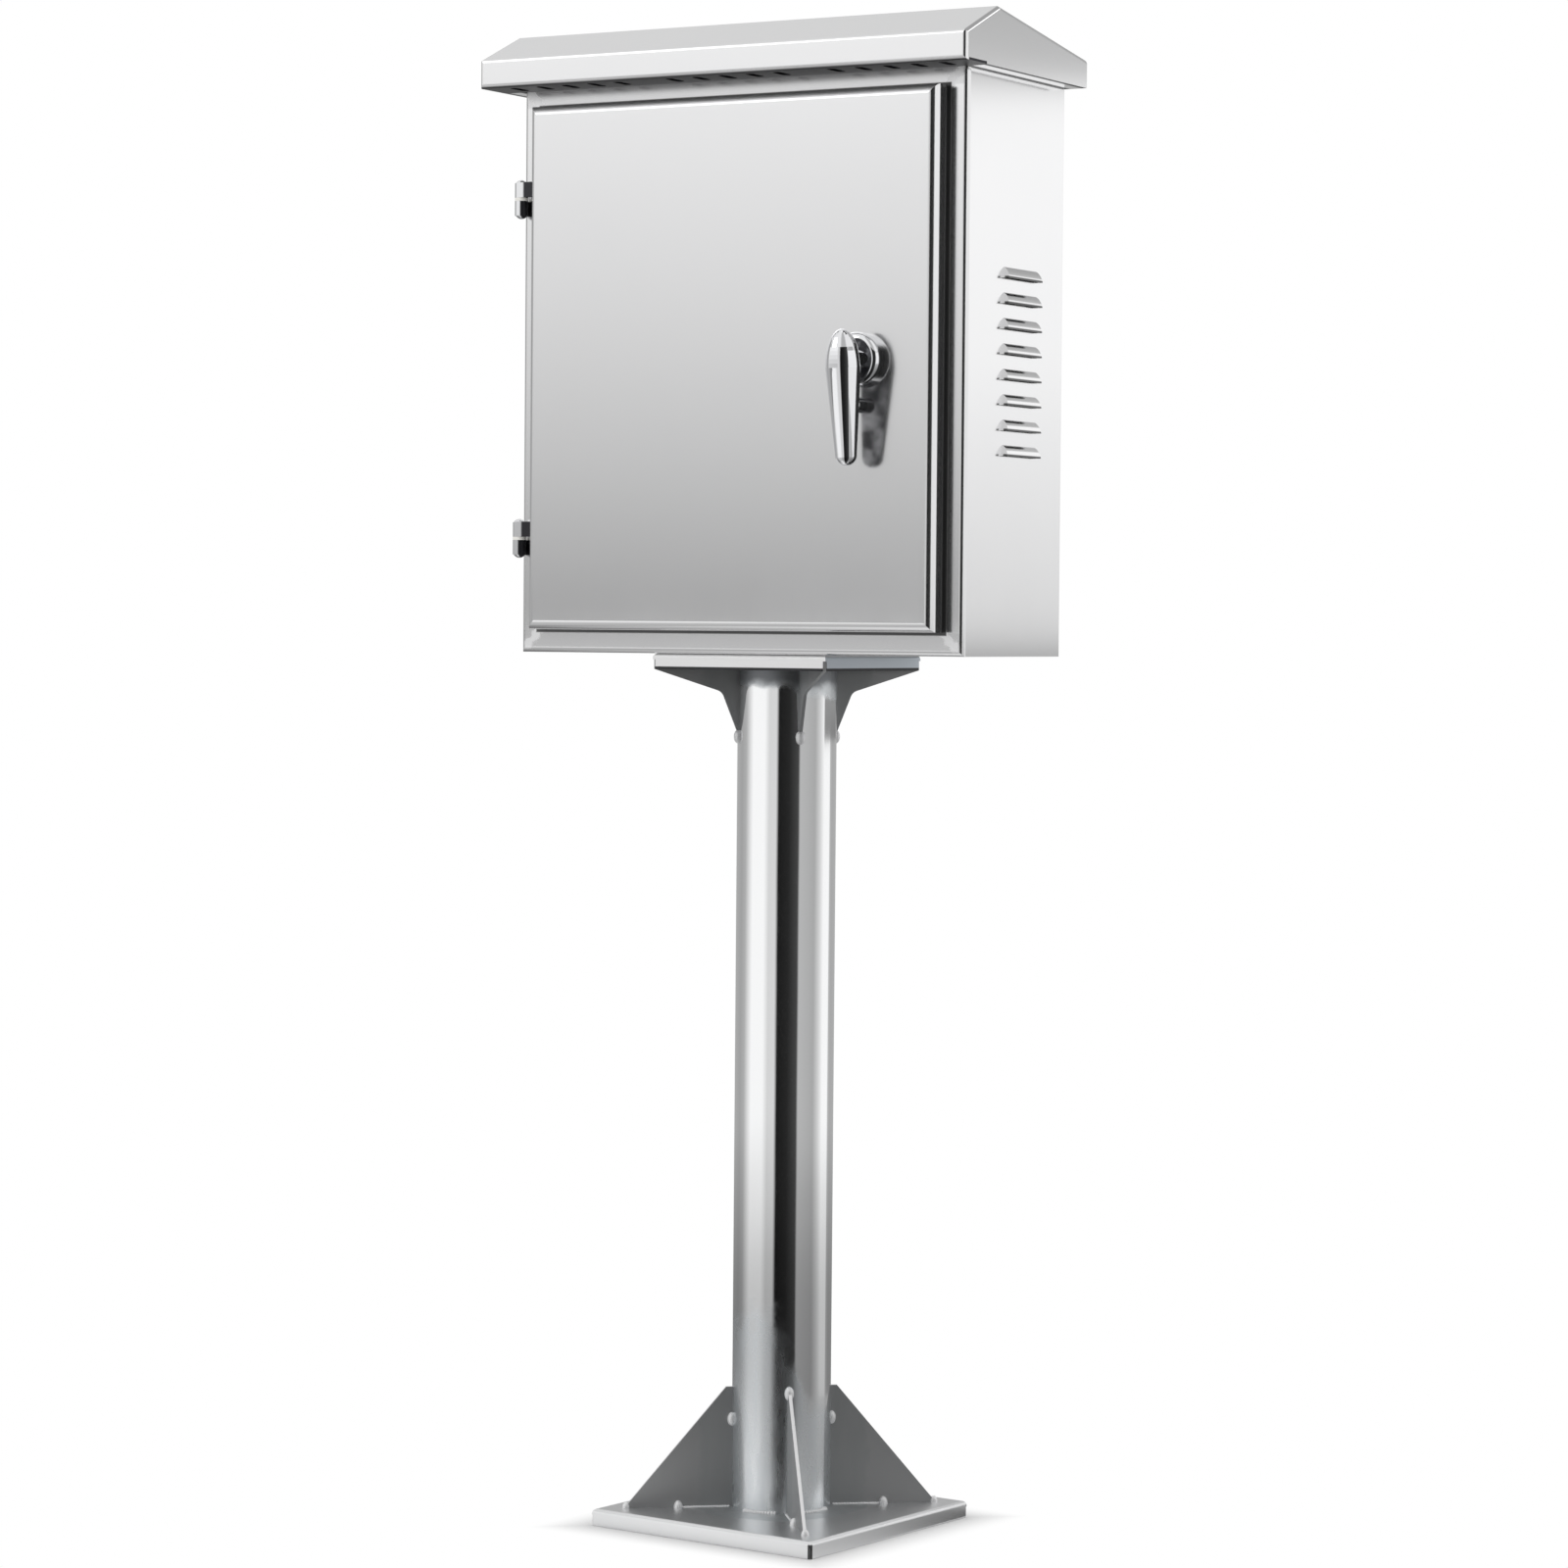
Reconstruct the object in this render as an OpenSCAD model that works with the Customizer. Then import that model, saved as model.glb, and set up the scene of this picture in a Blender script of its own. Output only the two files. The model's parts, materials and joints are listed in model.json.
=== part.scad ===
// Outdoor junction box on a pole: a folded stainless cabinet with a rain hood,
// a hinged and latched door, and a welded tube stand with gusseted pans.
// Millimetres. +Z is up, the door faces -Y, and the origin is on the ground
// under the middle of the pole.

/* [Stand] */
// Outside diameter of the pole tube
pole_d = 89; // [70:1:110]
// Wall of the pole tube
pole_wall = 2; // [1.5:0.5:4]
// Length of the pole tube between the two pans
pole_len = 765; // [400:1:1400]
// Side of the square base pan
base_side = 242; // [210:1:320]
// Height of the base pan's folded rim
base_rim = 15; // [10:1:25]
// Side of the square top pan
top_side = 176; // [150:1:180]
// Height of the top pan's folded rim
top_rim = 14; // [11:1:20]
// Sheet of both pans
pan_sheet = 2.5; // [2:0.5:4]
// Outside bend radius of the pans' rims
pan_bend = 4; // [3:0.5:6]
// Width of the open seam at each corner of the base pan
pan_seam = 1.6; // [1:0.2:3]
// Turn of the foot about the pole, against the cabinet
base_twist = -6.5; // [-10:0.5:10]
// Diameter of the cable holes in both pans and the cabinet floor
cable_hole_d = 76; // [60:1:80]

/* [Gussets] */
// Sheet of all gussets
gusset_sheet = 3; // [2:0.5:5]
// Height of a base gusset on the pole
base_gusset_h = 108; // [70:1:140]
// Reach of a base gusset along the pan
base_gusset_reach = 95; // [60:1:100]
// Flat land at the top of a base gusset
base_gusset_land = 6; // [3:1:12]
// Height of a base gusset at its toe
base_gusset_toe = 3; // [2:1:8]
// Height of a top gusset below the top pan's rim
top_gusset_h = 60; // [40:1:90]
// Distance of a top gusset's knee from the pole
top_knee_out = 16; // [10:1:25]
// Distance of a top gusset's knee below the rim
top_knee_down = 20; // [12:1:28]
// Radius of the knee
top_knee_r = 9; // [4:1:12]
// Clearance of a top gusset in the corner seam of the top pan
gusset_slip = 0.3; // [0.2:0.1:0.6]

/* [Cabinet] */
// Width of the cabinet
box_w = 450; // [380:1:600]
// Height of the cabinet
box_h = 508; // [430:1:700]
// Depth of the cabinet, without door
box_d = 184; // [178:1:300]
// Sheet of the cabinet, door and hood
sheet = 1.5; // [1:0.25:2]
// Outside bend radius of the cabinet
bend = 5; // [3:0.5:6]
// Width of the front frame, from outside to opening
frame_w = 31; // [29:0.5:36]
// Height of the rain lip round the opening
lip_h = 12; // [8:1:14]

/* [Louvres] */
// Number of louvres on each side
louvre_count = 8; // [4:1:10]
// Length of a louvre
louvre_len = 70; // [40:1:90]
// Distance between louvres
louvre_pitch = 22; // [16:1:30]
// How far a louvre stands out of its wall
louvre_out = 5.5; // [4:0.5:7]
// Radius of a louvre's pressed form
louvre_r = 11; // [10:0.5:14]
// Slant of a louvre's two ends
louvre_slant = 20; // [5:1:30]
// Height of the middle of the row above the cabinet floor
louvre_mid = 251; // [200:1:280]
// Distance of the row behind the middle of the cabinet's side
louvre_back = 9; // [-20:1:20]

/* [Hood] */
// Overhang of the hood past each side of the cabinet
hood_side = 20; // [12:1:40]
// Overhang of the hood in front of the cabinet
hood_front = 43; // [40:1:80]
// Overhang of the hood behind the cabinet
hood_back = 4; // [3:1:30]
// Height of the hood's upright fascia
hood_fascia = 25; // [18:1:40]
// Rise of the ridge above the fascia
hood_rise = 27; // [15:1:60]
// Distance of the ridge behind the hood's front
ridge_back = 61; // [45:1:100]
// How far the hood comes down over the cabinet's top
hood_drop = 5; // [4:1:12]
// Outside radius of the hood's folds and of its ground gable edges
hood_bend = 4; // [3:0.5:6]
// Slots in each group of the soffit's vents
vent_count = 5; // [3:1:5]
// Distance between the slots of a group
vent_pitch = 27; // [18:1:27]
// Distance between the middles of the groups
vent_group_pitch = 162; // [150:1:170]
// Length of a vent slot
vent_len = 24; // [14:1:28]
// Width of a vent slot
vent_w = 8; // [5:1:10]

/* [Door] */
// Frame left showing at each side of the door
door_side_margin = 19; // [17:0.5:26]
// Frame left showing above and below the door
door_end_margin = 20.5; // [18:0.5:26]
// Outside bend radius of the door's folds
door_bend = 8; // [5:0.5:10]
// Depth of the door's folded flange
door_depth = 20; // [18:1:26]
// Gap between door flange and frame
door_gap = 2; // [1.5:0.5:4]
// Reach of the foam gasket past the rain lip, into the opening
gasket_in = 3; // [1:0.5:5]
// Gap between gasket and the door's folded sides
gasket_slip = 0.2; // [0.1:0.1:0.5]
// Gap between gasket and rain lip
gasket_gap = 0.3; // [0.2:0.1:1]

/* [Hinges] */
// Diameter of a hinge barrel
barrel_d = 12; // [10:0.5:13]
// Length of one hinge barrel
barrel_len = 16; // [12:1:24]
// Diameter of a hinge pin
pin_d = 6; // [4:0.5:7]
// Clearance of a pin or spindle in its bore
run_gap = 0.05; // [0.02:0.01:0.1]
// Thickness of the washer between two barrels
hinge_washer_t = 3; // [1:0.5:4]
// Thickness of a hinge leaf
leaf_t = 2.5; // [2:0.5:3]
// Distance of the hinge axis inside the cabinet's left wall
hinge_in = 4; // [3:0.5:6]
// Distance of the hinge axis in front of the frame
hinge_fore = 10; // [9:0.5:12]
// Distance of each hinge from the door's middle
hinge_offset = 152; // [110:1:165]

/* [Latch] */
// Distance of the latch from the door's closing edge
latch_in = 71.5; // [60:0.5:95]
// Diameter of the latch rosette
rosette_d = 47; // [38:1:54]
// Height of the rosette on the door
rosette_h = 14; // [10:0.5:16]
// Radius of the rosette's rounded edge
rosette_round = 6; // [2:0.5:8]
// Diameter of the lever's hub
hub_d = 22; // [20:0.5:24]
// Diameter of the latch spindle
spindle_d = 12; // [10:0.5:14]
// Length of the lever above the spindle
lever_up = 25; // [20:1:32]
// Length of the lever below the spindle
lever_down = 92; // [70:1:110]
// Distance of the lever's widest place below the spindle
lever_wide_down = 8; // [0:1:14]
// Radius of the lever where it is widest
lever_r_wide = 15.5; // [13:0.5:17]
// Radius of the lever's round tail
lever_r_tail = 9.5; // [6:0.5:10]
// Distance of the lever's core line from the door, at the spindle
lever_off_hub = 31; // [28:1:40]
// Distance of the lever's core line from the door, at its tail
lever_off_tail = 24; // [22:1:30]
// Flat taken off the lever's back, from its core line
lever_flat = 3; // [1:0.5:5]
// Diameter of the stud that the lever rests against
rest_d = 14; // [10:0.5:18]
// Height of the rest stud on the door
rest_h = 16; // [10:1:18]
// Distance of the rest stud below the spindle
rest_down = 39; // [34:1:50]
// Thickness of the latch cam
cam_t = 3; // [2:0.5:5]
// Gap between the cam and the frame's back
cam_gap = 2; // [1:0.5:4]
// Hold of the cam behind the frame
cam_hold = 10; // [6:1:14]

/* [Inside] */
// Margin between the mounting plate and the opening
plate_margin = 6; // [4:1:20]
// Thickness of the mounting plate
plate_t = 2; // [1.5:0.5:3]
// Space behind the mounting plate
plate_space = 14; // [10:1:25]
// Number of terminal blocks on the rail
terminal_count = 12; // [6:1:18]
// Width of one terminal block
terminal_w = 8; // [6:0.5:10]
// Length of the mounting rail
rail_len = 260; // [200:1:300]
// Length of the earth bar
earth_len = 170; // [120:1:220]

/* [Hidden] */
$fn = 48;
eps = 0.01;
through = 1;

// Levels, from the ground up
floor_z = base_rim + pole_len + pan_sheet;
top_rim_z = floor_z - top_rim;
door_mid_z = floor_z + box_h / 2;
soffit_z = floor_z + box_h - hood_drop;

// Stand
pole_r = pole_d / 2;
gusset_turns = [-45, 45, 135, 225];
top_seam = gusset_sheet + 2 * gusset_slip;
top_tip_r = top_side / sqrt(2) - top_seam / 2;
top_shoulder_r = (top_side / 2 - pan_bend) * sqrt(2) - gusset_sheet / 2 - gusset_slip;
seam_end = 1.5;

// Cabinet
frame_y = -box_d / 2;
wall_back = box_d / 2 - sheet;
open_w = box_w - 2 * frame_w;
open_h = box_h - 2 * frame_w;

// Hood
hood_w = box_w + 2 * hood_side;
hood_y0 = frame_y - hood_front;
hood_y1 = box_d / 2 + hood_back;
ridge_y = hood_y0 + ridge_back;

// Bolts that hold the cabinet on the top pan
bolt_d = 8;
bolt_head_h = 5.3;
bolt_across = 13;
washer_d = 16;
washer_t = 1.6;
nut_h = 6.5;
bolt_past_nut = 3;
bolt_hole_gap = 0.5;
bolt_circle_r = (top_side / 2 - pan_sheet + pole_r) / 2;

// Grommet in the cabinet floor
grommet_wall = 4;
grommet_flange = 5;
grommet_flange_t = 3;

// Door
door_w = box_w - 2 * door_side_margin;
door_h = box_h - 2 * door_end_margin;
door_back_y = frame_y - door_gap;
door_front_y = door_back_y - door_depth;
door_inner_y = door_front_y + sheet;

// Hinges
hinge_x = -box_w / 2 + hinge_in;
hinge_y = frame_y - hinge_fore;
barrel_r = barrel_d / 2;
pin_r = pin_d / 2;

// Latch
latch_x = door_w / 2 - latch_in;
spindle_r = spindle_d / 2;
sleeve_d = 20;
sleeve_past_door = 11;
latch_nut_across = 28;
latch_nut_h = 5;
cam_y = frame_y + sheet + cam_gap;
cam_w = 20;
cam_square = 8;
cam_reach = box_w / 2 - frame_w + cam_hold - latch_x;
rosette_front_y = door_front_y - rosette_h;
socket_deep = 12;

// Inside
plate_w = open_w - 2 * plate_margin;
plate_h = open_h - 2 * plate_margin;
plate_front_y = wall_back - plate_space - plate_t;
stud_d = 8;
stud_in = 18;
stud_past_nut = 4;
rail_h = 35;
rail_deep = 7.5;
rail_t = 1;
rail_neck = 25;
rail_up = 60;
rail_z = door_mid_z + rail_up;
earth_down = 120;
earth_z = door_mid_z - earth_down;
terminal_h = 48;
terminal_deep = 36;
terminal_slip = 0.2;
terminal_row = terminal_count * (terminal_w + terminal_slip);
clamp_w = 9;
clamp_h = 42;
clamp_deep = 26;
clamp_slip = 0.3;
earth_bar_side = 10;
earth_post_h = 20;
earth_post_d = 14;
earth_screw_pitch = 18;

// Section of a fold with two round corners, standing on its base line
module crown(w, h, r) {
  translate([-w / 2, 0]) square([w, h - r]);
  translate([-w / 2 + r, 0]) square([w - 2 * r, h]);
  for (side = [-1, 1]) translate([side * (w / 2 - r), h - r]) circle(r);
}

// Block whose four upper edges are rounded as bends
module bent_block(x, y, h, r) {
  intersection() {
    rotate([90, 0, 0]) linear_extrude(y, center = true) crown(x, h, r);
    rotate([90, 0, 90]) linear_extrude(x, center = true) crown(y, h, r);
  }
}

// Sheet folded down on four sides, open below
module folded_pan(x, y, h, t, r) {
  difference() {
    bent_block(x, y, h, r);
    translate([0, 0, -through]) bent_block(x - 2 * t, y - 2 * t, h - t + through, r - t);
  }
}

// Turns a shape that stands on Z so that its top faces the front
module face_front(y, z) {
  translate([0, y, z]) rotate([90, 0, 0]) children();
}

// Row of points along an arc
function arc_points(c, r, a0, a1, n) =
  [for (i = [0:n]) let (a = a0 + (a1 - a0) * i / n) c + r * [cos(a), sin(a)]];

// Four copies round the Z axis
module four_round(r, turn = 0) {
  for (i = [0:3]) rotate([0, 0, 90 * i + turn]) translate([r, 0, 0]) children();
}

module hex_prism(across, h) {
  cylinder(h = h, d = across / cos(30), $fn = 6);
}

// Pan of the stand with a cable hole and open corner seams, its sheet on top
module stand_pan(side, rim, seam) {
  difference() {
    folded_pan(side, side, rim, pan_sheet, pan_bend);
    translate([0, 0, -through]) cylinder(h = rim + 2 * through, d = cable_hole_d);
    for (i = [0:3]) rotate([0, 0, 45 + 90 * i])
      translate([side / sqrt(2) - 3 * pan_bend, -seam / 2, -through])
        cube([4 * pan_bend, seam, rim - pan_bend - seam_end + through]);
  }
}

module base_pan() color("silver") {
  rotate([0, 0, base_twist]) stand_pan(base_side, base_rim, pan_seam);
}

// Upright plate on a radius of the pole, from an outline in radius and height
module gusset(turn, outline) color("gray") {
  rotate([90, 0, turn]) linear_extrude(gusset_sheet, center = true) polygon(outline);
}

module base_gusset(turn) {
  translate([0, 0, base_rim]) gusset(turn + base_twist, [
    [pole_r, 0],
    [pole_r + base_gusset_reach, 0],
    [pole_r + base_gusset_reach, base_gusset_toe],
    [pole_r + base_gusset_land, base_gusset_h],
    [pole_r, base_gusset_h]
  ]);
}

module top_gusset(turn) {
  knee = [pole_r + top_knee_out, -top_knee_down];
  foot = [pole_r, -top_gusset_h];
  tip = [top_tip_r, 0];
  to_foot = (foot - knee) / norm(foot - knee);
  to_tip = (tip - knee) / norm(tip - knee);
  half = acos(to_foot * to_tip) / 2;
  middle = (to_foot + to_tip) / norm(to_foot + to_tip);
  centre = knee + middle * top_knee_r / sin(half);
  middle_turn = atan2(-middle[1], -middle[0]);
  slot_top = top_rim - pan_bend - seam_end - gusset_slip;
  translate([0, 0, top_rim_z]) gusset(turn, concat(
    [[pole_r, top_rim - pan_sheet], foot],
    arc_points(centre, top_knee_r, middle_turn + (90 - half), middle_turn - (90 - half), 8),
    [tip, [top_tip_r, slot_top], [top_shoulder_r, slot_top], [top_shoulder_r, top_rim - pan_sheet]]
  ));
}

module pole() color("silver") {
  translate([0, 0, base_rim]) difference() {
    cylinder(h = pole_len, r = pole_r);
    translate([0, 0, -through]) cylinder(h = pole_len + 2 * through, r = pole_r - pole_wall);
  }
}

module top_pan() color("silver") {
  difference() {
    translate([0, 0, top_rim_z]) stand_pan(top_side, top_rim, top_seam);
    translate([0, 0, floor_z - pan_sheet - through])
      four_round(bolt_circle_r) cylinder(h = pan_sheet + 2 * through, d = bolt_d + bolt_hole_gap);
  }
}

module floor_bolts() color("gainsboro") {
  shank = washer_t + sheet + pan_sheet + nut_h + bolt_past_nut;
  four_round(bolt_circle_r) translate([0, 0, floor_z + sheet + washer_t]) {
    hex_prism(bolt_across, bolt_head_h);
    translate([0, 0, -shank]) cylinder(h = shank + eps, d = bolt_d);
  }
}

module floor_washers() color("silver") {
  four_round(bolt_circle_r) translate([0, 0, floor_z + sheet]) difference() {
    cylinder(h = washer_t, d = washer_d);
    translate([0, 0, -through]) cylinder(h = washer_t + 2 * through, d = bolt_d + bolt_hole_gap);
  }
}

module floor_nuts() color("silver") {
  four_round(bolt_circle_r) translate([0, 0, floor_z - pan_sheet - nut_h]) difference() {
    hex_prism(bolt_across, nut_h);
    translate([0, 0, -through]) cylinder(h = nut_h + 2 * through, d = bolt_d + 2 * run_gap);
  }
}

// Rubber edge ring that keeps cables off the sheet edge of the floor hole
module cable_grommet() color("black") {
  outer = cable_hole_d / 2 - run_gap;
  translate([0, 0, floor_z]) rotate_extrude() {
    translate([outer - grommet_wall, -pan_sheet])
      square([grommet_wall, pan_sheet + sheet + grommet_flange_t]);
    translate([outer - grommet_wall, sheet]) square([grommet_wall + grommet_flange, grommet_flange_t]);
  }
}

// Pressed louvre form on a wall that faces +X, lying along Y: a round top with slanted ends,
// cut off level at its lower edge and taken in by t all round
module louvre_form(t) {
  r = louvre_r - t;
  len = louvre_len - 2 * t;
  difference() {
    intersection() {
      translate([louvre_out - louvre_r, 0, 0]) rotate([90, 0, 0]) cylinder(h = len, r = r, center = true);
      translate([-sheet - eps, -louvre_len, 0]) cube([2 * louvre_r, 2 * louvre_len, 2 * louvre_r]);
    }
    for (end = [0, 1]) mirror([0, end, 0])
      translate([0, len / 2, 0]) rotate([louvre_slant, 0, -louvre_slant])
        translate([-louvre_len, 0, -louvre_len]) cube(2 * louvre_len);
  }
}

module louvre_row() {
  for (i = [0:louvre_count - 1])
    translate([box_w / 2, louvre_back, floor_z + louvre_mid + (i - (louvre_count - 1) / 2) * louvre_pitch])
      children();
}

// Cabinet walls, front frame and rain lip, folded and welded into one shell, open at the back
module cabinet() color("gainsboro") {
  difference() {
    union() {
      difference() {
        face_front(wall_back, door_mid_z) bent_block(box_w, box_h, box_d - sheet, bend);
        face_front(wall_back + through, door_mid_z)
          bent_block(box_w - 2 * sheet, box_h - 2 * sheet, box_d - 2 * sheet + through, bend - sheet);
      }
      face_front(frame_y + sheet, door_mid_z) linear_extrude(lip_h + sheet)
        square([open_w + 2 * sheet, open_h + 2 * sheet], center = true);
      for (side = [0, 1]) mirror([side, 0, 0]) louvre_row() louvre_form(0);
    }
    face_front(frame_y + sheet + through, door_mid_z) linear_extrude(lip_h + sheet + 2 * through)
      square([open_w, open_h], center = true);
    for (side = [0, 1]) mirror([side, 0, 0]) louvre_row() louvre_form(sheet);
    translate([0, 0, floor_z - through]) {
      cylinder(h = sheet + 2 * through, d = cable_hole_d);
      four_round(bolt_circle_r) cylinder(h = sheet + 2 * through, d = bolt_d + bolt_hole_gap);
    }
  }
}

module back_panel() color("gainsboro") {
  face_front(box_d / 2, door_mid_z) linear_extrude(sheet) square([box_w, box_h], center = true);
}

// Points of a closed outline with each corner rounded by its own radius
function rounded(points, radii, n = 8) = [
  for (i = [0:len(points) - 1])
    let (
      here = points[i],
      before = points[(i + len(points) - 1) % len(points)] - here,
      after = points[(i + 1) % len(points)] - here,
      u = before / norm(before),
      v = after / norm(after),
      half = acos(u * v) / 2,
      centre = here + (u + v) / norm(u + v) * radii[i] / sin(half),
      middle = here - centre,
      turn = atan2(middle[1], middle[0]),
      side = u[0] * v[1] - u[1] * v[0] > 0 ? 1 : -1
    )
    each radii[i] > 0
      ? arc_points(centre, radii[i], turn + side * (90 - half), turn - side * (90 - half), n)
      : [here]
];

// Side view of the hood's outside, in Y and Z, taken in by t all round
module hood_section(t) {
  front_rise = hood_rise / ridge_back;
  back_rise = hood_rise / (hood_y1 - ridge_y);
  front_in = t * norm([1, front_rise]);
  back_in = t * norm([1, back_rise]);
  top_y = ridge_y + (front_in - back_in) / (front_rise + back_rise);
  r = hood_bend - t;
  polygon(rounded([
    [hood_y0 + t, t],
    [hood_y0 + t, hood_fascia + t * front_rise - front_in],
    [top_y, hood_fascia + (top_y - hood_y0) * front_rise - front_in],
    [hood_y1 - t, hood_fascia + t * back_rise - back_in],
    [hood_y1 - t, t]
  ], [r, r, r, r, 0]));
}

// Long bar under one roof slope, its two upper edges rounded, to take the edges off the gables
module slope_bar(y, pitch, t) {
  reach = hood_y1 - hood_y0;
  translate([0, y, hood_fascia]) rotate([pitch, 0, 0]) translate([0, 0, -reach])
    rotate([90, 0, 0]) linear_extrude(4 * reach, center = true)
      crown(hood_w - 2 * t, reach - t, hood_bend - t);
}

// Closed form of the hood, taken in by t all round
module hood_form(t) {
  intersection() {
    rotate([90, 0, 90]) linear_extrude(hood_w - 2 * t, center = true) hood_section(t);
    slope_bar(hood_y0, atan2(hood_rise, ridge_back), t);
    slope_bar(hood_y1, -atan2(hood_rise, hood_y1 - ridge_y), t);
    translate([0, hood_y1, -through]) mirror([0, 1, 0])
      linear_extrude(hood_fascia + hood_rise + 2 * through)
        crown(hood_w - 2 * t, hood_y1 - hood_y0 - t, hood_bend - t);
  }
}

// Rain hood: folded roof and fascias, with a soffit that turns up against the cabinet
module hood() color("whitesmoke") {
  translate([0, 0, soffit_z]) difference() {
    union() {
      difference() {
        hood_form(0);
        hood_form(sheet);
      }
      translate([-box_w / 2 - sheet, frame_y - sheet, 0])
        cube([box_w + 2 * sheet, box_d + 2 * sheet, hood_drop - sheet]);
    }
    translate([-box_w / 2, frame_y, -through])
      cube([box_w, box_d, hood_drop + through]);
    for (group = [-1:1], i = [0:vent_count - 1])
      translate([group * vent_group_pitch + (i - (vent_count - 1) / 2) * vent_pitch,
          frame_y - hood_front / 2, -through])
        vent_slot();
  }
}

module vent_slot() {
  reach = (vent_len - vent_w) / 2;
  linear_extrude(sheet + 2 * through) {
    square([vent_w, 2 * reach], center = true);
    for (end = [-1, 1]) translate([0, end * reach]) circle(d = vent_w);
  }
}

// Places one copy at each corner stud of the mounting plate
module at_studs() {
  for (x = [-1, 1], z = [-1, 1])
    translate([x * (plate_w / 2 - stud_in), 0, door_mid_z + z * (plate_h / 2 - stud_in)]) children();
}

module mounting_plate() color("lightgray") {
  difference() {
    face_front(plate_front_y + plate_t, door_mid_z) linear_extrude(plate_t)
      square([plate_w, plate_h], center = true);
    at_studs() translate([0, plate_front_y + plate_t + through, 0]) rotate([90, 0, 0])
      cylinder(h = plate_t + 2 * through, d = stud_d + bolt_hole_gap);
  }
}

// Shouldered studs welded to the back panel: the shoulder carries the plate
module plate_studs() color("silver") {
  at_studs() translate([0, wall_back, 0]) rotate([90, 0, 0]) {
    cylinder(h = plate_space, d = 2 * stud_d);
    cylinder(h = plate_space + plate_t + nut_h + stud_past_nut, d = stud_d);
  }
}

module plate_nuts() color("silver") {
  at_studs() translate([0, plate_front_y, 0]) rotate([90, 0, 0]) difference() {
    hex_prism(bolt_across, nut_h);
    translate([0, 0, -through]) cylinder(h = nut_h + 2 * through, d = stud_d + 2 * run_gap);
  }
}

// Top-hat rail: base line on the plate, brims in front
module mounting_rail() color("silver") {
  translate([-rail_len / 2, plate_front_y, rail_z]) rotate([90, 0, 90])
    linear_extrude(rail_len) for (side = [0, 1]) mirror([0, side]) {
      translate([-rail_t, 0]) square([rail_t, rail_neck / 2]);
      translate([-rail_deep, rail_neck / 2 - rail_t]) square([rail_deep, rail_t]);
      translate([-rail_deep, rail_neck / 2 - rail_t]) square([rail_t, (rail_h - rail_neck) / 2 + rail_t]);
    }
}

module rail_screws() color("silver") {
  for (side = [-1, 1]) translate([side * (rail_len / 2 - 12), plate_front_y - rail_t, rail_z])
    rotate([90, 0, 0]) cylinder(h = 3, d1 = 9, d2 = 6);
}

// Side view of a terminal block, in Y and Z, hooked over the rail's brims
module terminal_section(h, deep) {
  back = -rail_deep - 0.3;
  polygon([
    [back, -h / 2], [back, h / 2],
    [back - deep * 0.45, h / 2], [back - deep * 0.62, h * 0.3],
    [back - deep, h * 0.22], [back - deep, -h * 0.22],
    [back - deep * 0.62, -h * 0.3], [back - deep * 0.45, -h / 2]
  ]);
}

module on_rail(x, w) {
  translate([x, plate_front_y, rail_z]) rotate([90, 0, 90]) linear_extrude(w) children();
}

module terminal_blocks() color("beige") {
  for (i = [0:terminal_count - 1]) {
    x = -terminal_row / 2 + i * (terminal_w + terminal_slip);
    difference() {
      on_rail(x, terminal_w) terminal_section(terminal_h, terminal_deep);
      for (side = [-1, 1])
        translate([x + terminal_w / 2, plate_front_y - rail_deep - terminal_deep * 0.3,
            rail_z + side * terminal_h * 0.4])
          rotate([90, 0, 0]) cylinder(h = terminal_deep, d = terminal_w * 0.55);
    }
  }
}

module end_clamps() color("dimgray") {
  for (side = [-1, 1])
    on_rail(side * (terminal_row / 2 + clamp_slip + clamp_w / 2) - clamp_w / 2, clamp_w)
      terminal_section(clamp_h, clamp_deep);
}

module earth_posts() color("firebrick") {
  for (side = [-1, 1]) translate([side * (earth_len / 2 - earth_bar_side), plate_front_y, earth_z])
    rotate([90, 0, 0]) cylinder(h = earth_post_h, d = earth_post_d);
}

module at_earth_screws() {
  count = floor((earth_len - 4 * earth_bar_side) / earth_screw_pitch);
  for (i = [0:count - 1]) translate([(i - (count - 1) / 2) * earth_screw_pitch,
      plate_front_y - earth_post_h - earth_bar_side, earth_z]) rotate([90, 0, 0]) children();
}

module earth_bar() color("goldenrod") {
  difference() {
    translate([-earth_len / 2, plate_front_y - earth_post_h - earth_bar_side, earth_z - earth_bar_side / 2])
      cube([earth_len, earth_bar_side, earth_bar_side]);
    at_earth_screws() translate([0, 0, -earth_bar_side / 2])
      cylinder(h = earth_bar_side, d = 5 + 2 * run_gap);
  }
}

module earth_screws() color("silver") {
  at_earth_screws() {
    translate([0, 0, -earth_bar_side / 2]) cylinder(h = earth_bar_side / 2 + eps, d = 5);
    cylinder(h = 4, d = 9);
  }
}

// Upright barrel on the hinge axis with a bore for the pin and a domed outer end
module hinge_barrel(up) {
  mirror([0, 0, up ? 0 : 1]) rotate_extrude() difference() {
    union() {
      translate([0, hinge_washer_t / 2]) square([barrel_r, barrel_len - barrel_r / 2]);
      intersection() {
        translate([0, hinge_washer_t / 2 + barrel_len - barrel_r]) circle(barrel_r);
        square([barrel_r, hinge_washer_t / 2 + barrel_len]);
      }
    }
    square([pin_r + run_gap, hinge_washer_t / 2 + barrel_len - barrel_r]);
  }
}

module at_hinge(side) {
  translate([hinge_x, hinge_y, door_mid_z + side * hinge_offset]) children();
}

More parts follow.
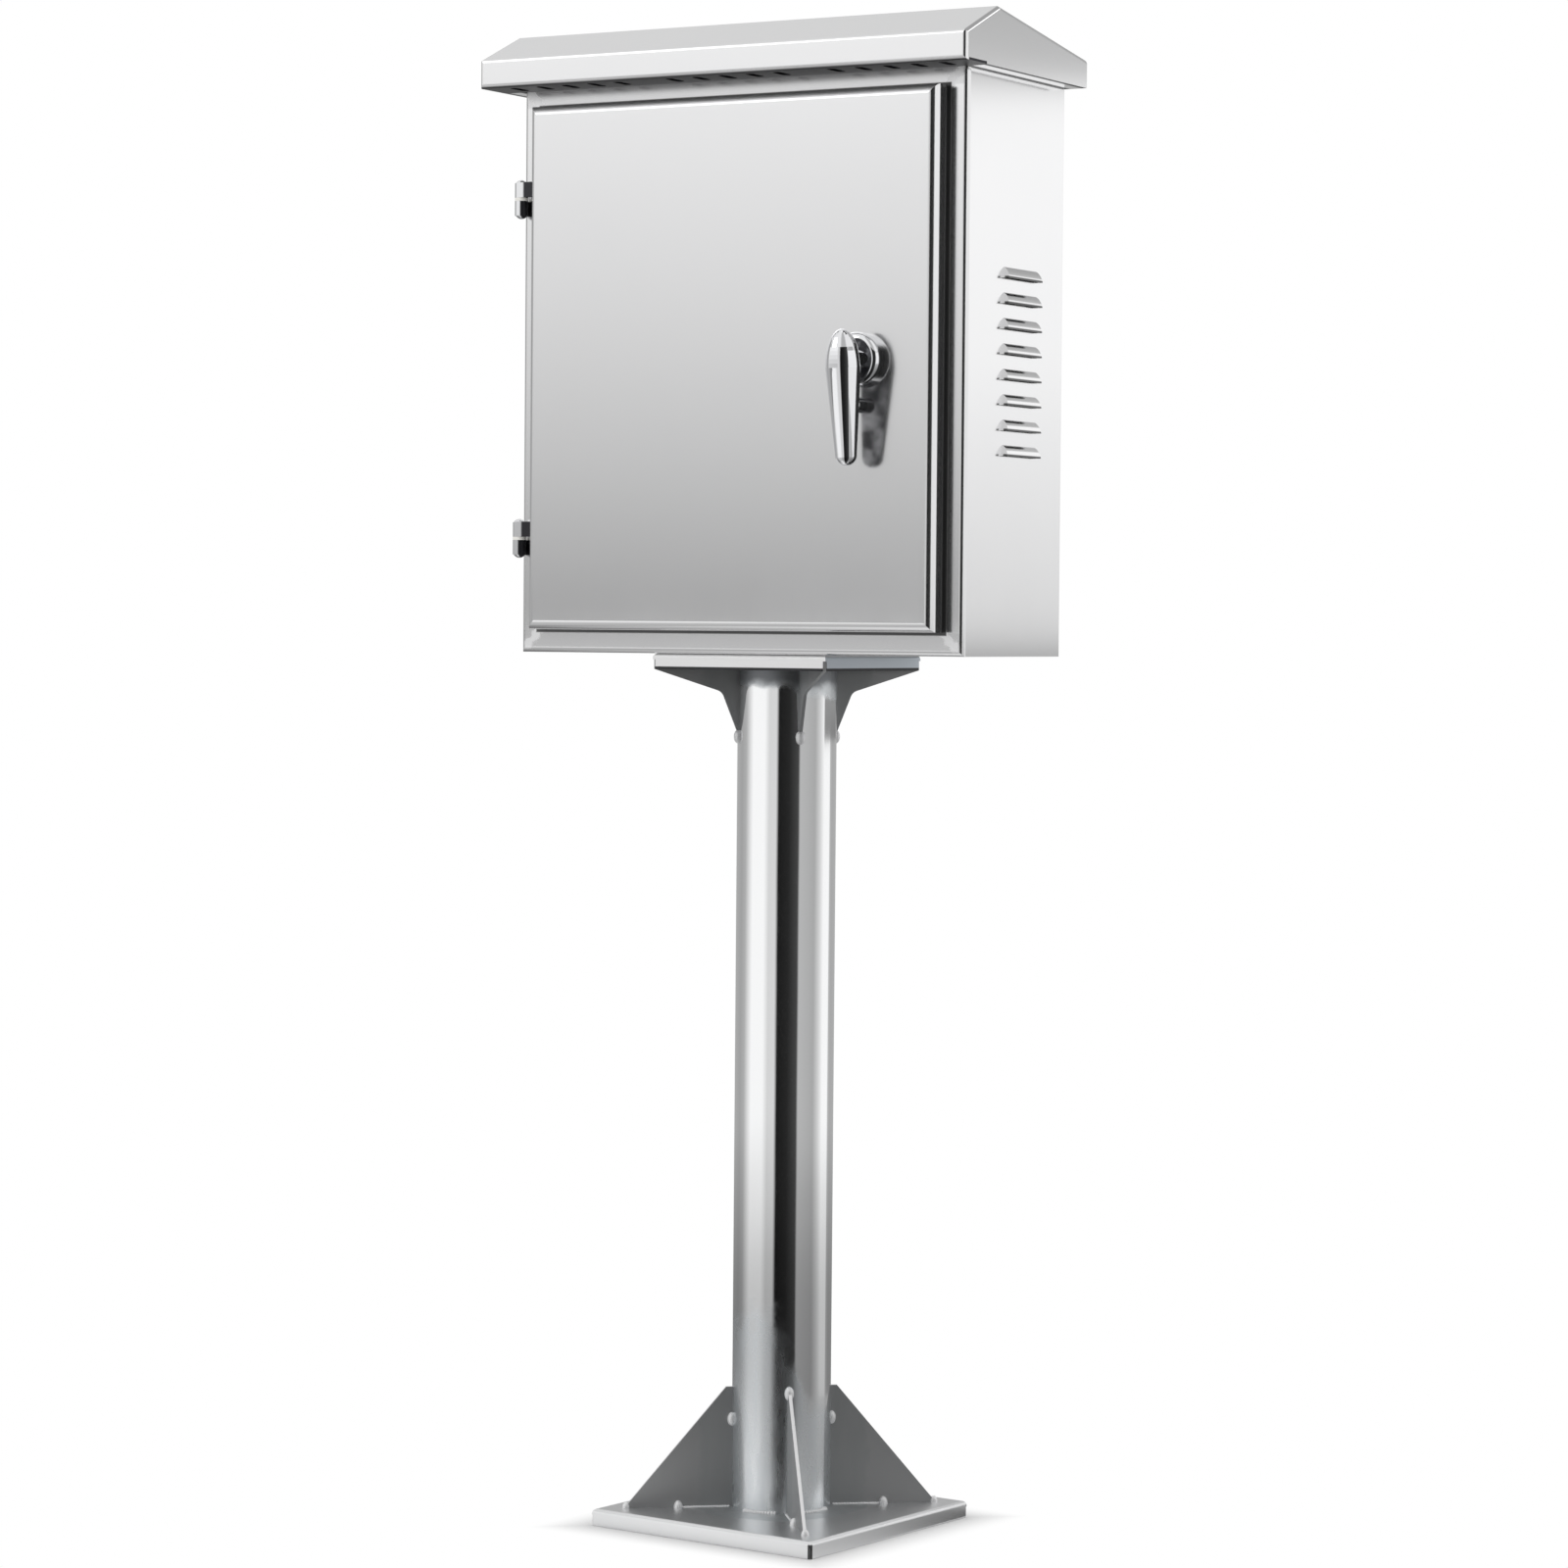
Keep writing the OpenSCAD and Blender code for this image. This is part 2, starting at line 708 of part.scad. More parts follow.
// Lower half of a hinge, on the cabinet's front frame
module hinge_frame_leaf(side) color("silver") {
  at_hinge(side) difference() {
    union() {
      hinge_barrel(false);
      translate([-barrel_r, 0, -hinge_washer_t / 2 - barrel_len + leaf_t])
        cube([leaf_t, hinge_fore, barrel_len - leaf_t]);
      translate([-barrel_r, hinge_fore - leaf_t, -hinge_washer_t / 2 - barrel_len + leaf_t])
        cube([barrel_d + leaf_t, leaf_t, barrel_len - leaf_t]);
    }
    translate([0, 0, -hinge_washer_t / 2 - barrel_len + barrel_r])
      cylinder(h = barrel_len, r = pin_r + run_gap);
  }
}

// Upper half of a hinge, on the door's folded flange
module hinge_door_leaf(side) color("silver") {
  flange_x = -door_w / 2 - hinge_x;
  at_hinge(side) difference() {
    union() {
      hinge_barrel(true);
      translate([0, -barrel_r, hinge_washer_t / 2]) cube([flange_x, leaf_t, barrel_len - leaf_t]);
      translate([flange_x - leaf_t, -barrel_r, hinge_washer_t / 2])
        cube([leaf_t, barrel_d, barrel_len - leaf_t]);
    }
    cylinder(h = hinge_washer_t / 2 + barrel_len - barrel_r, r = pin_r + run_gap);
  }
}

module hinge_pin(side) color("silver") {
  reach = hinge_washer_t / 2 + barrel_len - barrel_r;
  at_hinge(side) cylinder(h = 2 * reach - 2 * run_gap, r = pin_r, center = true);
}

module hinge_washer(side) color("white") {
  at_hinge(side) difference() {
    cylinder(h = hinge_washer_t - 2 * run_gap, r = barrel_r, center = true);
    cylinder(h = hinge_washer_t + through, r = pin_r + run_gap, center = true);
  }
}

// Door: sheet folded back on four sides, with a round hole for the latch sleeve
module door() color("gainsboro") {
  difference() {
    face_front(door_back_y, door_mid_z) folded_pan(door_w, door_h, door_depth, sheet, door_bend);
    translate([latch_x, door_inner_y + through, door_mid_z]) rotate([90, 0, 0])
      cylinder(h = sheet + 2 * through, d = sleeve_d + 2 * run_gap);
  }
}

// Foam strip in the door's inner corner that closes on the rain lip
module door_gasket() color("black") {
  wide = door_w - 2 * sheet - 2 * gasket_slip;
  tall = door_h - 2 * sheet - 2 * gasket_slip;
  inside = door_back_y - door_inner_y;
  thick = frame_y - lip_h - gasket_gap - door_inner_y;
  face_front(door_back_y, door_mid_z) difference() {
    bent_block(wide, tall, inside, door_bend - sheet);
    translate([-door_w / 2, -door_h / 2, -through]) cube([door_w, door_h, inside - thick + through]);
    translate([gasket_in - open_w / 2, gasket_in - open_h / 2, -through])
      cube([open_w - 2 * gasket_in, open_h - 2 * gasket_in, inside + 2 * through]);
  }
}

// Turns a shape that stands on Z to stand out of the door's front at the latch
module at_latch(y) {
  translate([latch_x, y, door_mid_z]) rotate([90, 0, 0]) children();
}

// Half section of a round boss with one rounded edge, about the Y axis
module boss_section(r, h, edge) {
  square([r - edge, h]);
  square([r, h - edge]);
  translate([r - edge, h - edge]) circle(edge);
}

// Round base of the latch with a sleeve through the door
module latch_rosette() color("silver") {
  sleeve = sheet + sleeve_past_door;
  at_latch(door_front_y) rotate_extrude() difference() {
    union() {
      boss_section(rosette_d / 2, rosette_h, rosette_round);
      translate([0, -sleeve]) square([sleeve_d / 2, sleeve + eps]);
    }
    translate([0, -sleeve - through]) square([spindle_r + run_gap, rosette_h + sleeve + 2 * through]);
  }
}

// Stud on the door that the lever's back comes to rest over
module lever_rest() color("silver") {
  translate([0, 0, -rest_down]) at_latch(door_front_y)
    rotate_extrude() boss_section(rest_d / 2, rest_h, rest_d / 4);
}

module latch_nut() color("silver") {
  at_latch(door_inner_y + latch_nut_h) difference() {
    hex_prism(latch_nut_across, latch_nut_h);
    translate([0, 0, -through]) cylinder(h = latch_nut_h + 2 * through, d = sleeve_d + 2 * run_gap);
  }
}

// Half section of the lever about its core line: a long round top, a taper and a round tail
module lever_section(up, len, wide_down, r_wide, r_tail) {
  polygon(concat(
    arc_points([0, -len], r_tail, -90, 0, 10),
    [for (i = [0:14]) let (a = 90 * i / 14) [r_wide * cos(a), (up + wide_down) * sin(a) - wide_down]]
  ));
}

// Cast lever: a tapered round grip with a flat back, on a hub that takes the spindle
module latch_lever() color("silver") {
  tail = lever_down - lever_r_tail;
  lean_off = lever_off_hub - lever_off_tail;
  hub_h = lever_off_hub - rosette_h - run_gap;
  difference() {
    union() {
      translate([latch_x, door_front_y - lever_off_hub, door_mid_z]) rotate([atan2(lean_off, tail), 0, 0])
        difference() {
          rotate_extrude()
            lever_section(lever_up, norm([tail, lean_off]), lever_wide_down, lever_r_wide, lever_r_tail);
          translate([-lever_down, lever_flat, -2 * lever_down])
            cube([2 * lever_down, lever_down, 4 * lever_down]);
        }
      at_latch(rosette_front_y - run_gap) cylinder(h = hub_h, d = hub_d);
    }
    at_latch(rosette_front_y + through) cylinder(h = socket_deep + through, r = spindle_r + run_gap);
  }
}

module latch_spindle() color("silver") {
  back_y = cam_y + cam_t;
  front_y = rosette_front_y - socket_deep + run_gap;
  at_latch(back_y) {
    translate([0, 0, cam_t]) cylinder(h = cam_y - front_y, r = spindle_r);
    translate([-cam_square / 2, -cam_square / 2, 0]) cube([cam_square, cam_square, cam_t + eps]);
    translate([0, 0, -nut_h - bolt_past_nut]) cylinder(h = nut_h + bolt_past_nut + eps, d = cam_square);
  }
}

// Flat cam that swings behind the front frame
module latch_cam() color("silver") {
  at_latch(cam_y + cam_t) linear_extrude(cam_t) difference() {
    union() {
      circle(d = cam_w);
      translate([0, -cam_w / 2]) square([cam_reach - cam_w / 2, cam_w]);
      translate([cam_reach - cam_w / 2, 0]) circle(d = cam_w);
    }
    square(cam_square + 2 * run_gap, center = true);
  }
}

module cam_nut() color("silver") {
  at_latch(cam_y + cam_t + nut_h) difference() {
    hex_prism(bolt_across, nut_h);
    translate([0, 0, -through]) cylinder(h = nut_h + 2 * through, d = cam_square + 2 * run_gap);
  }
}

base_pan();
base_gusset(gusset_turns[0]);  // base_gusset_near
base_gusset(gusset_turns[1]);  // base_gusset_right
base_gusset(gusset_turns[2]);  // base_gusset_rear
base_gusset(gusset_turns[3]);  // base_gusset_left
pole();
top_gusset(gusset_turns[0]);  // top_gusset_near
top_gusset(gusset_turns[1]);  // top_gusset_right
top_gusset(gusset_turns[2]);  // top_gusset_rear
top_gusset(gusset_turns[3]);  // top_gusset_left
top_pan();
floor_bolts();
floor_washers();
floor_nuts();
cable_grommet();
cabinet();
back_panel();
hood();
mounting_plate();
plate_studs();
plate_nuts();
mounting_rail();
rail_screws();
terminal_blocks();
end_clamps();
earth_posts();
earth_bar();
earth_screws();
hinge_frame_leaf(1);  // upper_hinge_frame_leaf
hinge_door_leaf(1);  // upper_hinge_door_leaf
hinge_pin(1);  // upper_hinge_pin
hinge_washer(1);  // upper_hinge_washer
hinge_frame_leaf(-1);  // lower_hinge_frame_leaf
hinge_door_leaf(-1);  // lower_hinge_door_leaf
hinge_pin(-1);  // lower_hinge_pin
hinge_washer(-1);  // lower_hinge_washer
door();
door_gasket();
latch_rosette();
latch_nut();
lever_rest();
latch_lever();
latch_spindle();
latch_cam();
cam_nut();
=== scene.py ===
# %% [markdown]
# # A junction box on a pole
#
# The object is an outdoor junction box: a folded stainless cabinet under a gabled rain hood, on a
# polished tube with a square folded pan welded to each end. All its solid pieces come from the CAD
# model, which loads as a fixed frame in metres. What is left for Blender is what a drawing does not
# show: brushed and polished steel, the dull skin that welding leaves, the weld beads themselves,
# and the light of a small studio.

import json
from math import cos, pi, radians, sin, sqrt

import bmesh
import bpy
from mathutils import Matrix, Vector


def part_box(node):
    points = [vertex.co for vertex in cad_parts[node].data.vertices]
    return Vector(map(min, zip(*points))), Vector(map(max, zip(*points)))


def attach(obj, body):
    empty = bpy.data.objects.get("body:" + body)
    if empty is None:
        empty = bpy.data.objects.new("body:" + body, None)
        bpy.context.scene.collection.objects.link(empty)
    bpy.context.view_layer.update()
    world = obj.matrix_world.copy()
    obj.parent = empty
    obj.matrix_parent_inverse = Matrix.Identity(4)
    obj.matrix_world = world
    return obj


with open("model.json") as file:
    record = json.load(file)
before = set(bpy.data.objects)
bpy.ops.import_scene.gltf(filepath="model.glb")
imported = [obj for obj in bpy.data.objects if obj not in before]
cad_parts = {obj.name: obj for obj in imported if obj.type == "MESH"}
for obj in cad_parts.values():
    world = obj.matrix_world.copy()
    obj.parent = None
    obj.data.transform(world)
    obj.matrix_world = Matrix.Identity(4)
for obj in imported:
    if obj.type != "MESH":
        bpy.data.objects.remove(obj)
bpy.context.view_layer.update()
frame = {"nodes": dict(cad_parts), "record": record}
nodes = frame["nodes"]

# %% [markdown]
# ## The camera
#
# The photograph was taken from the right of the door, a little above the cabinet's floor, with a
# long lens: the cabinet's upright edges stay almost parallel. A camera could be placed by eye, but
# every later comparison depends on it, so its angles come from a fit to about twenty corners of the
# object: turn and tilt, a slight roll, the distance and the focal length.

# %% Place the camera
TURN, TILT, ROLL = radians(29.69), radians(-1.975), radians(0.482)
AIM_SHIFT = radians(0.033)
DISTANCE, EYE_HEIGHT = 4.0858, 0.8068
LENS_MM, SENSOR_MM = 104.54, 36.0
UP = Vector((0, 0, 1))

camera_data = bpy.data.cameras.new("camera")
camera_data.sensor_width = SENSOR_MM
camera_data.lens = LENS_MM
camera = bpy.data.objects.new("camera", camera_data)
scene = bpy.context.scene
scene.collection.objects.link(camera)
scene.camera = camera

to_camera = Vector((sin(TURN), -cos(TURN), 0))
level = Matrix.Rotation(AIM_SHIFT, 3, "Z") @ -to_camera
ahead = level * cos(TILT) + UP * sin(TILT)
right = Vector((level.y, -level.x, 0))
above = right.cross(ahead)
rolled_right = right * cos(ROLL) + above * sin(ROLL)
rolled_up = above * cos(ROLL) - right * sin(ROLL)
looking = Matrix((rolled_right, rolled_up, -ahead)).transposed().to_4x4()
camera.matrix_world = Matrix.Translation(to_camera * DISTANCE + UP * EYE_HEIGHT) @ looking
print("camera at", [round(c, 3) for c in camera.matrix_world.translation])

# %% [markdown]
# ## Floor and background
#
# The picture has a plain white ground. A photographer would use a sweep of white paper. Here the
# floor is one large disc that lies a hair under the foot, so that the two never share a plane.

# %% Lay the floor
FLOOR_RADIUS, FLOOR_DROP, FLOOR_CORNERS = 9.0, 0.0003, 64

scene.view_settings.view_transform = "Standard"
floor_mesh = bpy.data.meshes.new("floor")
bm = bmesh.new()
bmesh.ops.create_circle(bm, cap_ends=True, segments=FLOOR_CORNERS, radius=FLOOR_RADIUS)
bm.to_mesh(floor_mesh)
bm.free()
floor = bpy.data.objects.new("floor", floor_mesh)
floor.location.z = -FLOOR_DROP
scene.collection.objects.link(floor)
print("floor radius", FLOOR_RADIUS)

# %% [markdown]
# The floor's paint is the first material made of nodes. Nodes could be wired by hand in the shader
# editor. A few helpers do the same in one line each: add a node and fill its inputs, add a sum, add
# a soft step between two values, and mix two shaders. All later materials use them too.

# %% Write the node helpers


def feed(tree, socket, value):
    """Links another node's output to a socket, or writes a plain value into it."""
    if isinstance(value, bpy.types.NodeSocket):
        tree.links.new(value, socket)
    else:
        socket.default_value = value


def place(tree, kind, settings=None, **sockets):
    """Adds a node: settings are its properties, sockets its inputs by name."""
    node = tree.nodes.new(kind)
    for name, value in (settings or {}).items():
        setattr(node, name, value)
    for name, value in sockets.items():
        feed(tree, node.inputs[name.replace("_", " ")], value)
    return node


def calc(tree, operation, *values):
    """Adds a Math node and returns its result."""
    node = place(tree, "ShaderNodeMath", {"operation": operation})
    for socket, value in zip(node.inputs, values):
        feed(tree, socket, value)
    return node.outputs[0]


def ramp(tree, value, start, end, low=0.0, high=1.0):
    """Maps start..end to low..high with a soft step."""
    node = place(
        tree, "ShaderNodeMapRange", {"interpolation_type": "SMOOTHSTEP"},
        Value=value, From_Min=start, From_Max=end, To_Min=low, To_Max=high)
    return node.outputs["Result"]


def bare_material(name):
    """A material with an empty node tree and its output node."""
    material = bpy.data.materials.new(name)
    material.use_nodes = True
    tree = material.node_tree
    tree.nodes.clear()
    return material, tree, tree.nodes.new("ShaderNodeOutputMaterial")


def blend(tree, output, factor, first, second):
    """Sends two shaders to the output: the first at a factor of 0, the second at 1."""
    mix = place(tree, "ShaderNodeMixShader", Fac=factor)
    tree.links.new(first.outputs[0], mix.inputs[1])
    tree.links.new(second.outputs[0], mix.inputs[2])
    tree.links.new(mix.outputs[0], output.inputs["Surface"])


print("helpers:", [helper.__name__ for helper in (feed, place, calc, ramp, bare_material, blend)])

# %% [markdown]
# The paint is pale and matt, so it stays dark under the foot. Just outside the foot it melts into
# the white of the world, and no horizon shows. The foot is a square that is turned a little against
# the cabinet, so the melting follows the larger of two turned coordinates.

# %% Paint the floor
FLOOR_PAINT, WHITE = (0.86, 0.86, 0.86, 1), (1, 1, 1, 1)
FOOT_TURN = -6.5
MELT_FROM, MELT_TO = 0.117, 0.165


def own_point(tree):
    """The point in the object's own axes."""
    return place(tree, "ShaderNodeTexCoord").outputs["Object"]


def split(tree, vector):
    """The three coordinates of a vector."""
    return place(tree, "ShaderNodeSeparateXYZ", Vector=vector).outputs


def along_foot(tree):
    """The point's coordinates along the sides of the turned foot."""
    squared = place(
        tree, "ShaderNodeVectorRotate", {"rotation_type": "Z_AXIS"},
        Vector=own_point(tree), Angle=radians(-FOOT_TURN))
    return split(tree, squared.outputs[0])


floor_paint, tree, output = bare_material("floor_paint")
matt = place(tree, "ShaderNodeBsdfDiffuse", Color=FLOOR_PAINT)
glow = place(tree, "ShaderNodeEmission", Color=WHITE, Strength=1.0)
x, y, z = along_foot(tree)
reach = calc(tree, "MAXIMUM", calc(tree, "ABSOLUTE", x), calc(tree, "ABSOLUTE", y))
blend(tree, output, ramp(tree, reach, MELT_FROM, MELT_TO), matt, glow)
floor_mesh.materials.append(floor_paint)
print("floor paint nodes:", len(tree.nodes))

# %% [markdown]
# ## Studio light
#
# Steel has no colour of its own to speak of: it shows what stands round it. A photographer lights
# such an object with white walls and soft boxes, and hangs black and grey cards where the metal
# should turn dark. The world is the white room. It is white to the camera and to reflections, and a
# little dimmer as a light. Two soft boxes give that light a direction.

# %% Light the room
ROOM_LIGHT, BACKDROP_WHITE = 0.8, 1.0
LAMP_AIM = UP * 0.8

world = bpy.data.worlds.new("white_room")
scene.world = world
world.use_nodes = True
tree = world.node_tree
tree.nodes.clear()
output = tree.nodes.new("ShaderNodeOutputWorld")
path = place(tree, "ShaderNodeLightPath").outputs
seen = calc(tree, "MAXIMUM", path["Is Camera Ray"], path["Is Glossy Ray"])
seen = calc(tree, "MAXIMUM", seen, path["Is Transmission Ray"])
room = place(tree, "ShaderNodeBackground", Color=WHITE, Strength=ROOM_LIGHT)
backdrop = place(tree, "ShaderNodeBackground", Color=WHITE, Strength=BACKDROP_WHITE)
blend(tree, output, seen, room, backdrop)


def round_camera(angle, reach, height):
    """A point at an angle right of the camera's direction, seen from the pole."""
    side = Vector((cos(TURN), sin(TURN), 0))
    return (to_camera * cos(radians(angle)) + side * sin(radians(angle))) * reach + UP * height


def soft_box(name, angle, reach, height, wide, tall, watts):
    """A rectangular lamp that looks at the middle of the object."""
    data = bpy.data.lights.new(name, "AREA")
    data.shape = "RECTANGLE"
    data.size, data.size_y, data.energy = wide, tall, watts
    lamp = bpy.data.objects.new(name, data)
    lamp.location = round_camera(angle, reach, height)
    lamp.rotation_euler = (LAMP_AIM - lamp.location).to_track_quat("-Z", "Y").to_euler()
    lamp.visible_camera = False
    scene.collection.objects.link(lamp)


soft_box("soft_box_left", angle=-70, reach=2.6, height=2.6, wide=1.8, tall=1.4, watts=8)
soft_box("soft_box_right", angle=105, reach=2.6, height=2.2, wide=1.4, tall=1.4, watts=6)

# %% [markdown]
# The cards of the studio could be lamps, one each. Here a card is a sheet that is curved round the
# pole, and its tone is stored at its points, so that tones fade into each other. Stops give the
# tone at angles round the pole, and rows say how far out and how high the sheet runs and how bright
# each row is. Cards show in reflections only, so they neither hide the object nor light it.

# %% Write the card maker
ARC_STEP = 2.0


def tone_at(angle, stops):
    """The tone between the two stops on either side of an angle."""
    for (a, low), (b, high) in zip(stops, stops[1:]):
        if a <= angle <= b:
            return low + (high - low) * (angle - a) / (b - a)
    return stops[-1][1]


def lying(height, *gains):
    """Rows of a level card, each with its own (reach, gain)."""
    return [(reach, height, gain) for reach, gain in gains]


def standing(reach, *gains):
    """Rows of an upright card, each with its own (height, gain)."""
    return [(reach, height, gain) for height, gain in gains]


def card(name, stops, rows):
    """A card with stops (angle right of the camera, tone) and rows (reach, height, gain)."""
    first, last = stops[0][0], stops[-1][0]
    count, deep = max(2, round((last - first) / ARC_STEP)), len(rows)
    angles = [first + (last - first) * i / count for i in range(count + 1)]
    points = [round_camera(a, reach, height) for a in angles for reach, height, gain in rows]
    tones = [tone_at(a, stops) * gain for a in angles for reach, height, gain in rows]
    corners = [i * deep + j for i in range(count) for j in range(deep - 1)]
    mesh = bpy.data.meshes.new(name)
    mesh.from_pydata(points, [], [(c, c + deep, c + deep + 1, c + 1) for c in corners])
    mesh.attributes.new("tone", "FLOAT", "POINT").data.foreach_set("value", tones)
    paint, tree, output = bare_material(name)
    tone = place(tree, "ShaderNodeAttribute", {"attribute_name": "tone"}).outputs["Fac"]
    glow = place(tree, "ShaderNodeEmission", Color=tone, Strength=1.0)
    tree.links.new(glow.outputs[0], output.inputs["Surface"])
    mesh.materials.append(paint)
    obj = bpy.data.objects.new(name, mesh)
    obj.visible_camera = obj.visible_diffuse = obj.visible_shadow = False
    scene.collection.objects.link(obj)
    print("card:", name, "tones", round(min(tones), 2), "to", round(max(tones), 2))


print("strips in a card that goes all round:", round(360 / ARC_STEP))

# %% [markdown]
# Round the object stands a wall of panels: white at the left, black where the camera stands, grey
# and white at the right. On a polished tube a band at an angle mirrors what stands at twice that
# angle, which gives each panel's place. The wall runs in over the floor and up to a ceiling, which
# the hood's slopes mirror.

# %% Hang the wall and the ceiling
FLOOR_LEVEL, CEILING_LEVEL, WALL_REACH = 0.002, 3.4, 5.0
WALL = [
    (-180, 0.45), (-125, 0.38), (-108, 0.45), (-84, 1.0), (-52, 1.0), (-40, 0.7), (-24, 0.72),
    (-18, 0.01), (6, 0.02), (28, 0.06), (32, 0.5), (70, 0.42), (86, 0.7), (98, 1.0), (112, 1.0),
    (132, 0.42), (180, 0.45),
]
CEILING = [
    (-180, 0.74), (-60, 0.9), (-20, 0.9), (-8, 0.5), (20, 0.5), (32, 0.9), (88, 0.9), (100, 0.4),
    (156, 0.4), (166, 0.74), (180, 0.74),
]
card(
    "studio_wall", WALL,
    lying(FLOOR_LEVEL, (0.7, 0.5), (1.5, 0.56), (3.2, 1.0), (WALL_REACH, 1.0))
    + standing(WALL_REACH, (CEILING_LEVEL, 1.0)))
card("studio_ceiling", CEILING, lying(CEILING_LEVEL, (WALL_REACH, 1.0), (0.5, 1.0)))

# %% [markdown]
# Flat sheet mirrors only a small part of the room, so it would show one single tone. Smaller cards
# close to the object fade from dark to white, and with them the door and the side fade too. A plain
# white card stands where the door's right fold looks, which gives the door its bright edge. Two
# cards on the floor belong to the foot: one all round, and a dark one beside its right rim.

# %% Hang the near cards
RIM_LEVEL = 0.001
FOOT = [
    (-180, 0.5), (-100, 0.6), (-84, 0.92), (-52, 0.92), (-40, 0.6), (-24, 0.6), (-18, 0.01),
    (6, 0.02), (28, 0.06), (32, 0.42), (80, 0.42), (98, 0.45), (112, 0.45), (132, 0.45), (180, 0.5),
]
RIM = [(12, 0.6), (50, 0.42), (100, 0.1), (125, 0.1), (165, 0.9)]


def even(first, last):
    """Stops of a card with one full tone between two angles."""
    return [(first, 1.0), (last, 1.0)]


card("foot_card", FOOT, lying(FLOOR_LEVEL, (0.2, 1.0), (0.7, 0.8)))
card("rim_card", RIM, lying(RIM_LEVEL, (0.12, 1.0), (0.34, 1.0)))
card(
    "door_card", even(-100, -30),
    standing(1.25, (0.78, 0.2), (0.86, 0.46), (1.0, 0.64), (1.2, 0.83), (1.5, 1.03)))
card("edge_card", even(30, 96), standing(1.2, (0.785, 0.9), (1.5, 1.0)))
card(
    "side_card", even(96, 156),
    standing(
        1.15, (0.68, 0.22), (0.775, 0.4), (0.8, 0.8), (0.95, 0.92), (1.1, 1.06), (1.385, 1.12),
        (1.415, 0.56), (1.7, 0.42)))

# %% [markdown]
# ## Effects that several finishes share
#
# Some effects come back on more than one piece, so each is a node group: the fine lines of a
# grinding belt, the slow waves of thin folded sheet, and the greasy haze of hands and packing film.
# They could be painted as pictures, but a noise that follows the object's own axes needs no
# unwrapping and has no seams. Each group puts out a plain value over the surface, and the material
# decides what it does with it.

# %% Build belt lines, waves and haze
UPRIGHT, LEVEL = (900.0, 900.0, 9.0), (9.0, 900.0, 900.0)


def new_group(name, inputs, outputs):
    """A node group with inputs {name: default}, numbers or vectors, and named outputs."""
    group = bpy.data.node_groups.new(name, "ShaderNodeTree")
    for label, value in inputs.items():
        kind = "NodeSocketVector" if isinstance(value, tuple) else "NodeSocketFloat"
        socket = group.interface.new_socket(label, in_out="INPUT", socket_type=kind)
        socket.default_value = value
    for label in outputs:
        group.interface.new_socket(label, in_out="OUTPUT", socket_type="NodeSocketFloat")
    start = group.nodes.new("NodeGroupInput")
    end = group.nodes.new("NodeGroupOutput")
    return group, start.outputs, end.inputs


def noise(tree, vector, scale, detail, rough=0.5):
    """A cloudy value between 0 and 1."""
    node = place(
        tree, "ShaderNodeTexNoise", Vector=vector, Scale=scale, Detail=detail, Roughness=rough)
    return node.outputs[0]


def stretched(tree, factors):
    """The point with its coordinates multiplied, which draws a noise out along the small factor."""
    node = place(tree, "ShaderNodeVectorMath", {"operation": "MULTIPLY"})
    feed(tree, node.inputs[0], own_point(tree))
    feed(tree, node.inputs[1], factors)
    return node.outputs[0]


belt, given, result = new_group("belt_lines", {"Stretch": UPRIGHT}, ["Lines"])
drawn = stretched(belt, given["Stretch"])
belt.links.new(noise(belt, drawn, scale=1.0, detail=3.0, rough=0.6), result["Lines"])

waves, given, result = new_group("sheet_waves", {"Scale": 4.0}, ["Height"])
waves.links.new(noise(waves, own_point(waves), given["Scale"], detail=1.0), result["Height"])

haze, given, result = new_group("hand_haze", {"Scale": 7.0, "Cover": 0.5}, ["Mask"])
cloud = noise(haze, own_point(haze), given["Scale"], detail=5.0, rough=0.62)
over_edge = calc(haze, "SUBTRACT", cloud, calc(haze, "SUBTRACT", 1.0, given["Cover"]))
haze.links.new(calc(haze, "SMOOTH_MAX", over_edge, 0.0, 0.2), result["Mask"])
print("groups:", [g.name for g in bpy.data.node_groups])

# %% [markdown]
# A weld leaves a dull skin round itself, where heat and the cleaning afterwards took the polish
# off. Its mask takes a distance that is 0 at the weld and 1 where the skin ends. A noise moves that
# distance a little to and fro, which tears the skin's edge. Inside the skin a second noise, drawn
# out upright like the strokes of a cleaning brush, makes the dull metal streaky.

# %% Build the weld skin
STROKES = (1.0, 1.0, 0.2)


def over(tree, value, edge, soft):
    """1 where a value lies over an edge, with a soft step on both sides of it."""
    return ramp(tree, value, edge - soft, edge + soft)


def under(tree, value, edge, soft):
    """1 where a value lies under an edge, with a soft step on both sides of it."""
    return ramp(tree, value, edge + soft, edge - soft)


heat, given, result = new_group(
    "weld_skin", {"Distance": 1.0, "Scale": 22.0, "Ragged": 0.8}, ["Mask", "Mottle"])
torn = noise(heat, own_point(heat), given["Scale"], detail=4.0, rough=0.6)
offset = calc(heat, "MULTIPLY", calc(heat, "SUBTRACT", torn, 0.5), given["Ragged"])
moved = calc(heat, "ADD", given["Distance"], offset)
heat.links.new(under(heat, moved, edge=0.9, soft=0.1), result["Mask"])
streaks = noise(heat, stretched(heat, STROKES), scale=90.0, detail=3.0, rough=0.55)
heat.links.new(streaks, result["Mottle"])
print("weld skin gives:", [item.name for item in heat.interface.items_tree])

# %% [markdown]
# ## Finishes
#
# Every finish is built from the same few moves: place a shared effect with its own values, let a
# mask change a colour or a value, and turn a height into a bump. Marks are zones of a piece with a
# colour and a roughness of their own, laid over the plain finish one after the other. All of it
# feeds one Principled shader, which the export can read.

# %% Write the finish helpers
MIX_FACTOR, MIX_FIRST, MIX_SECOND, MIX_COLOUR = 0, 6, 7, 2  # a Mix node's sockets for colours


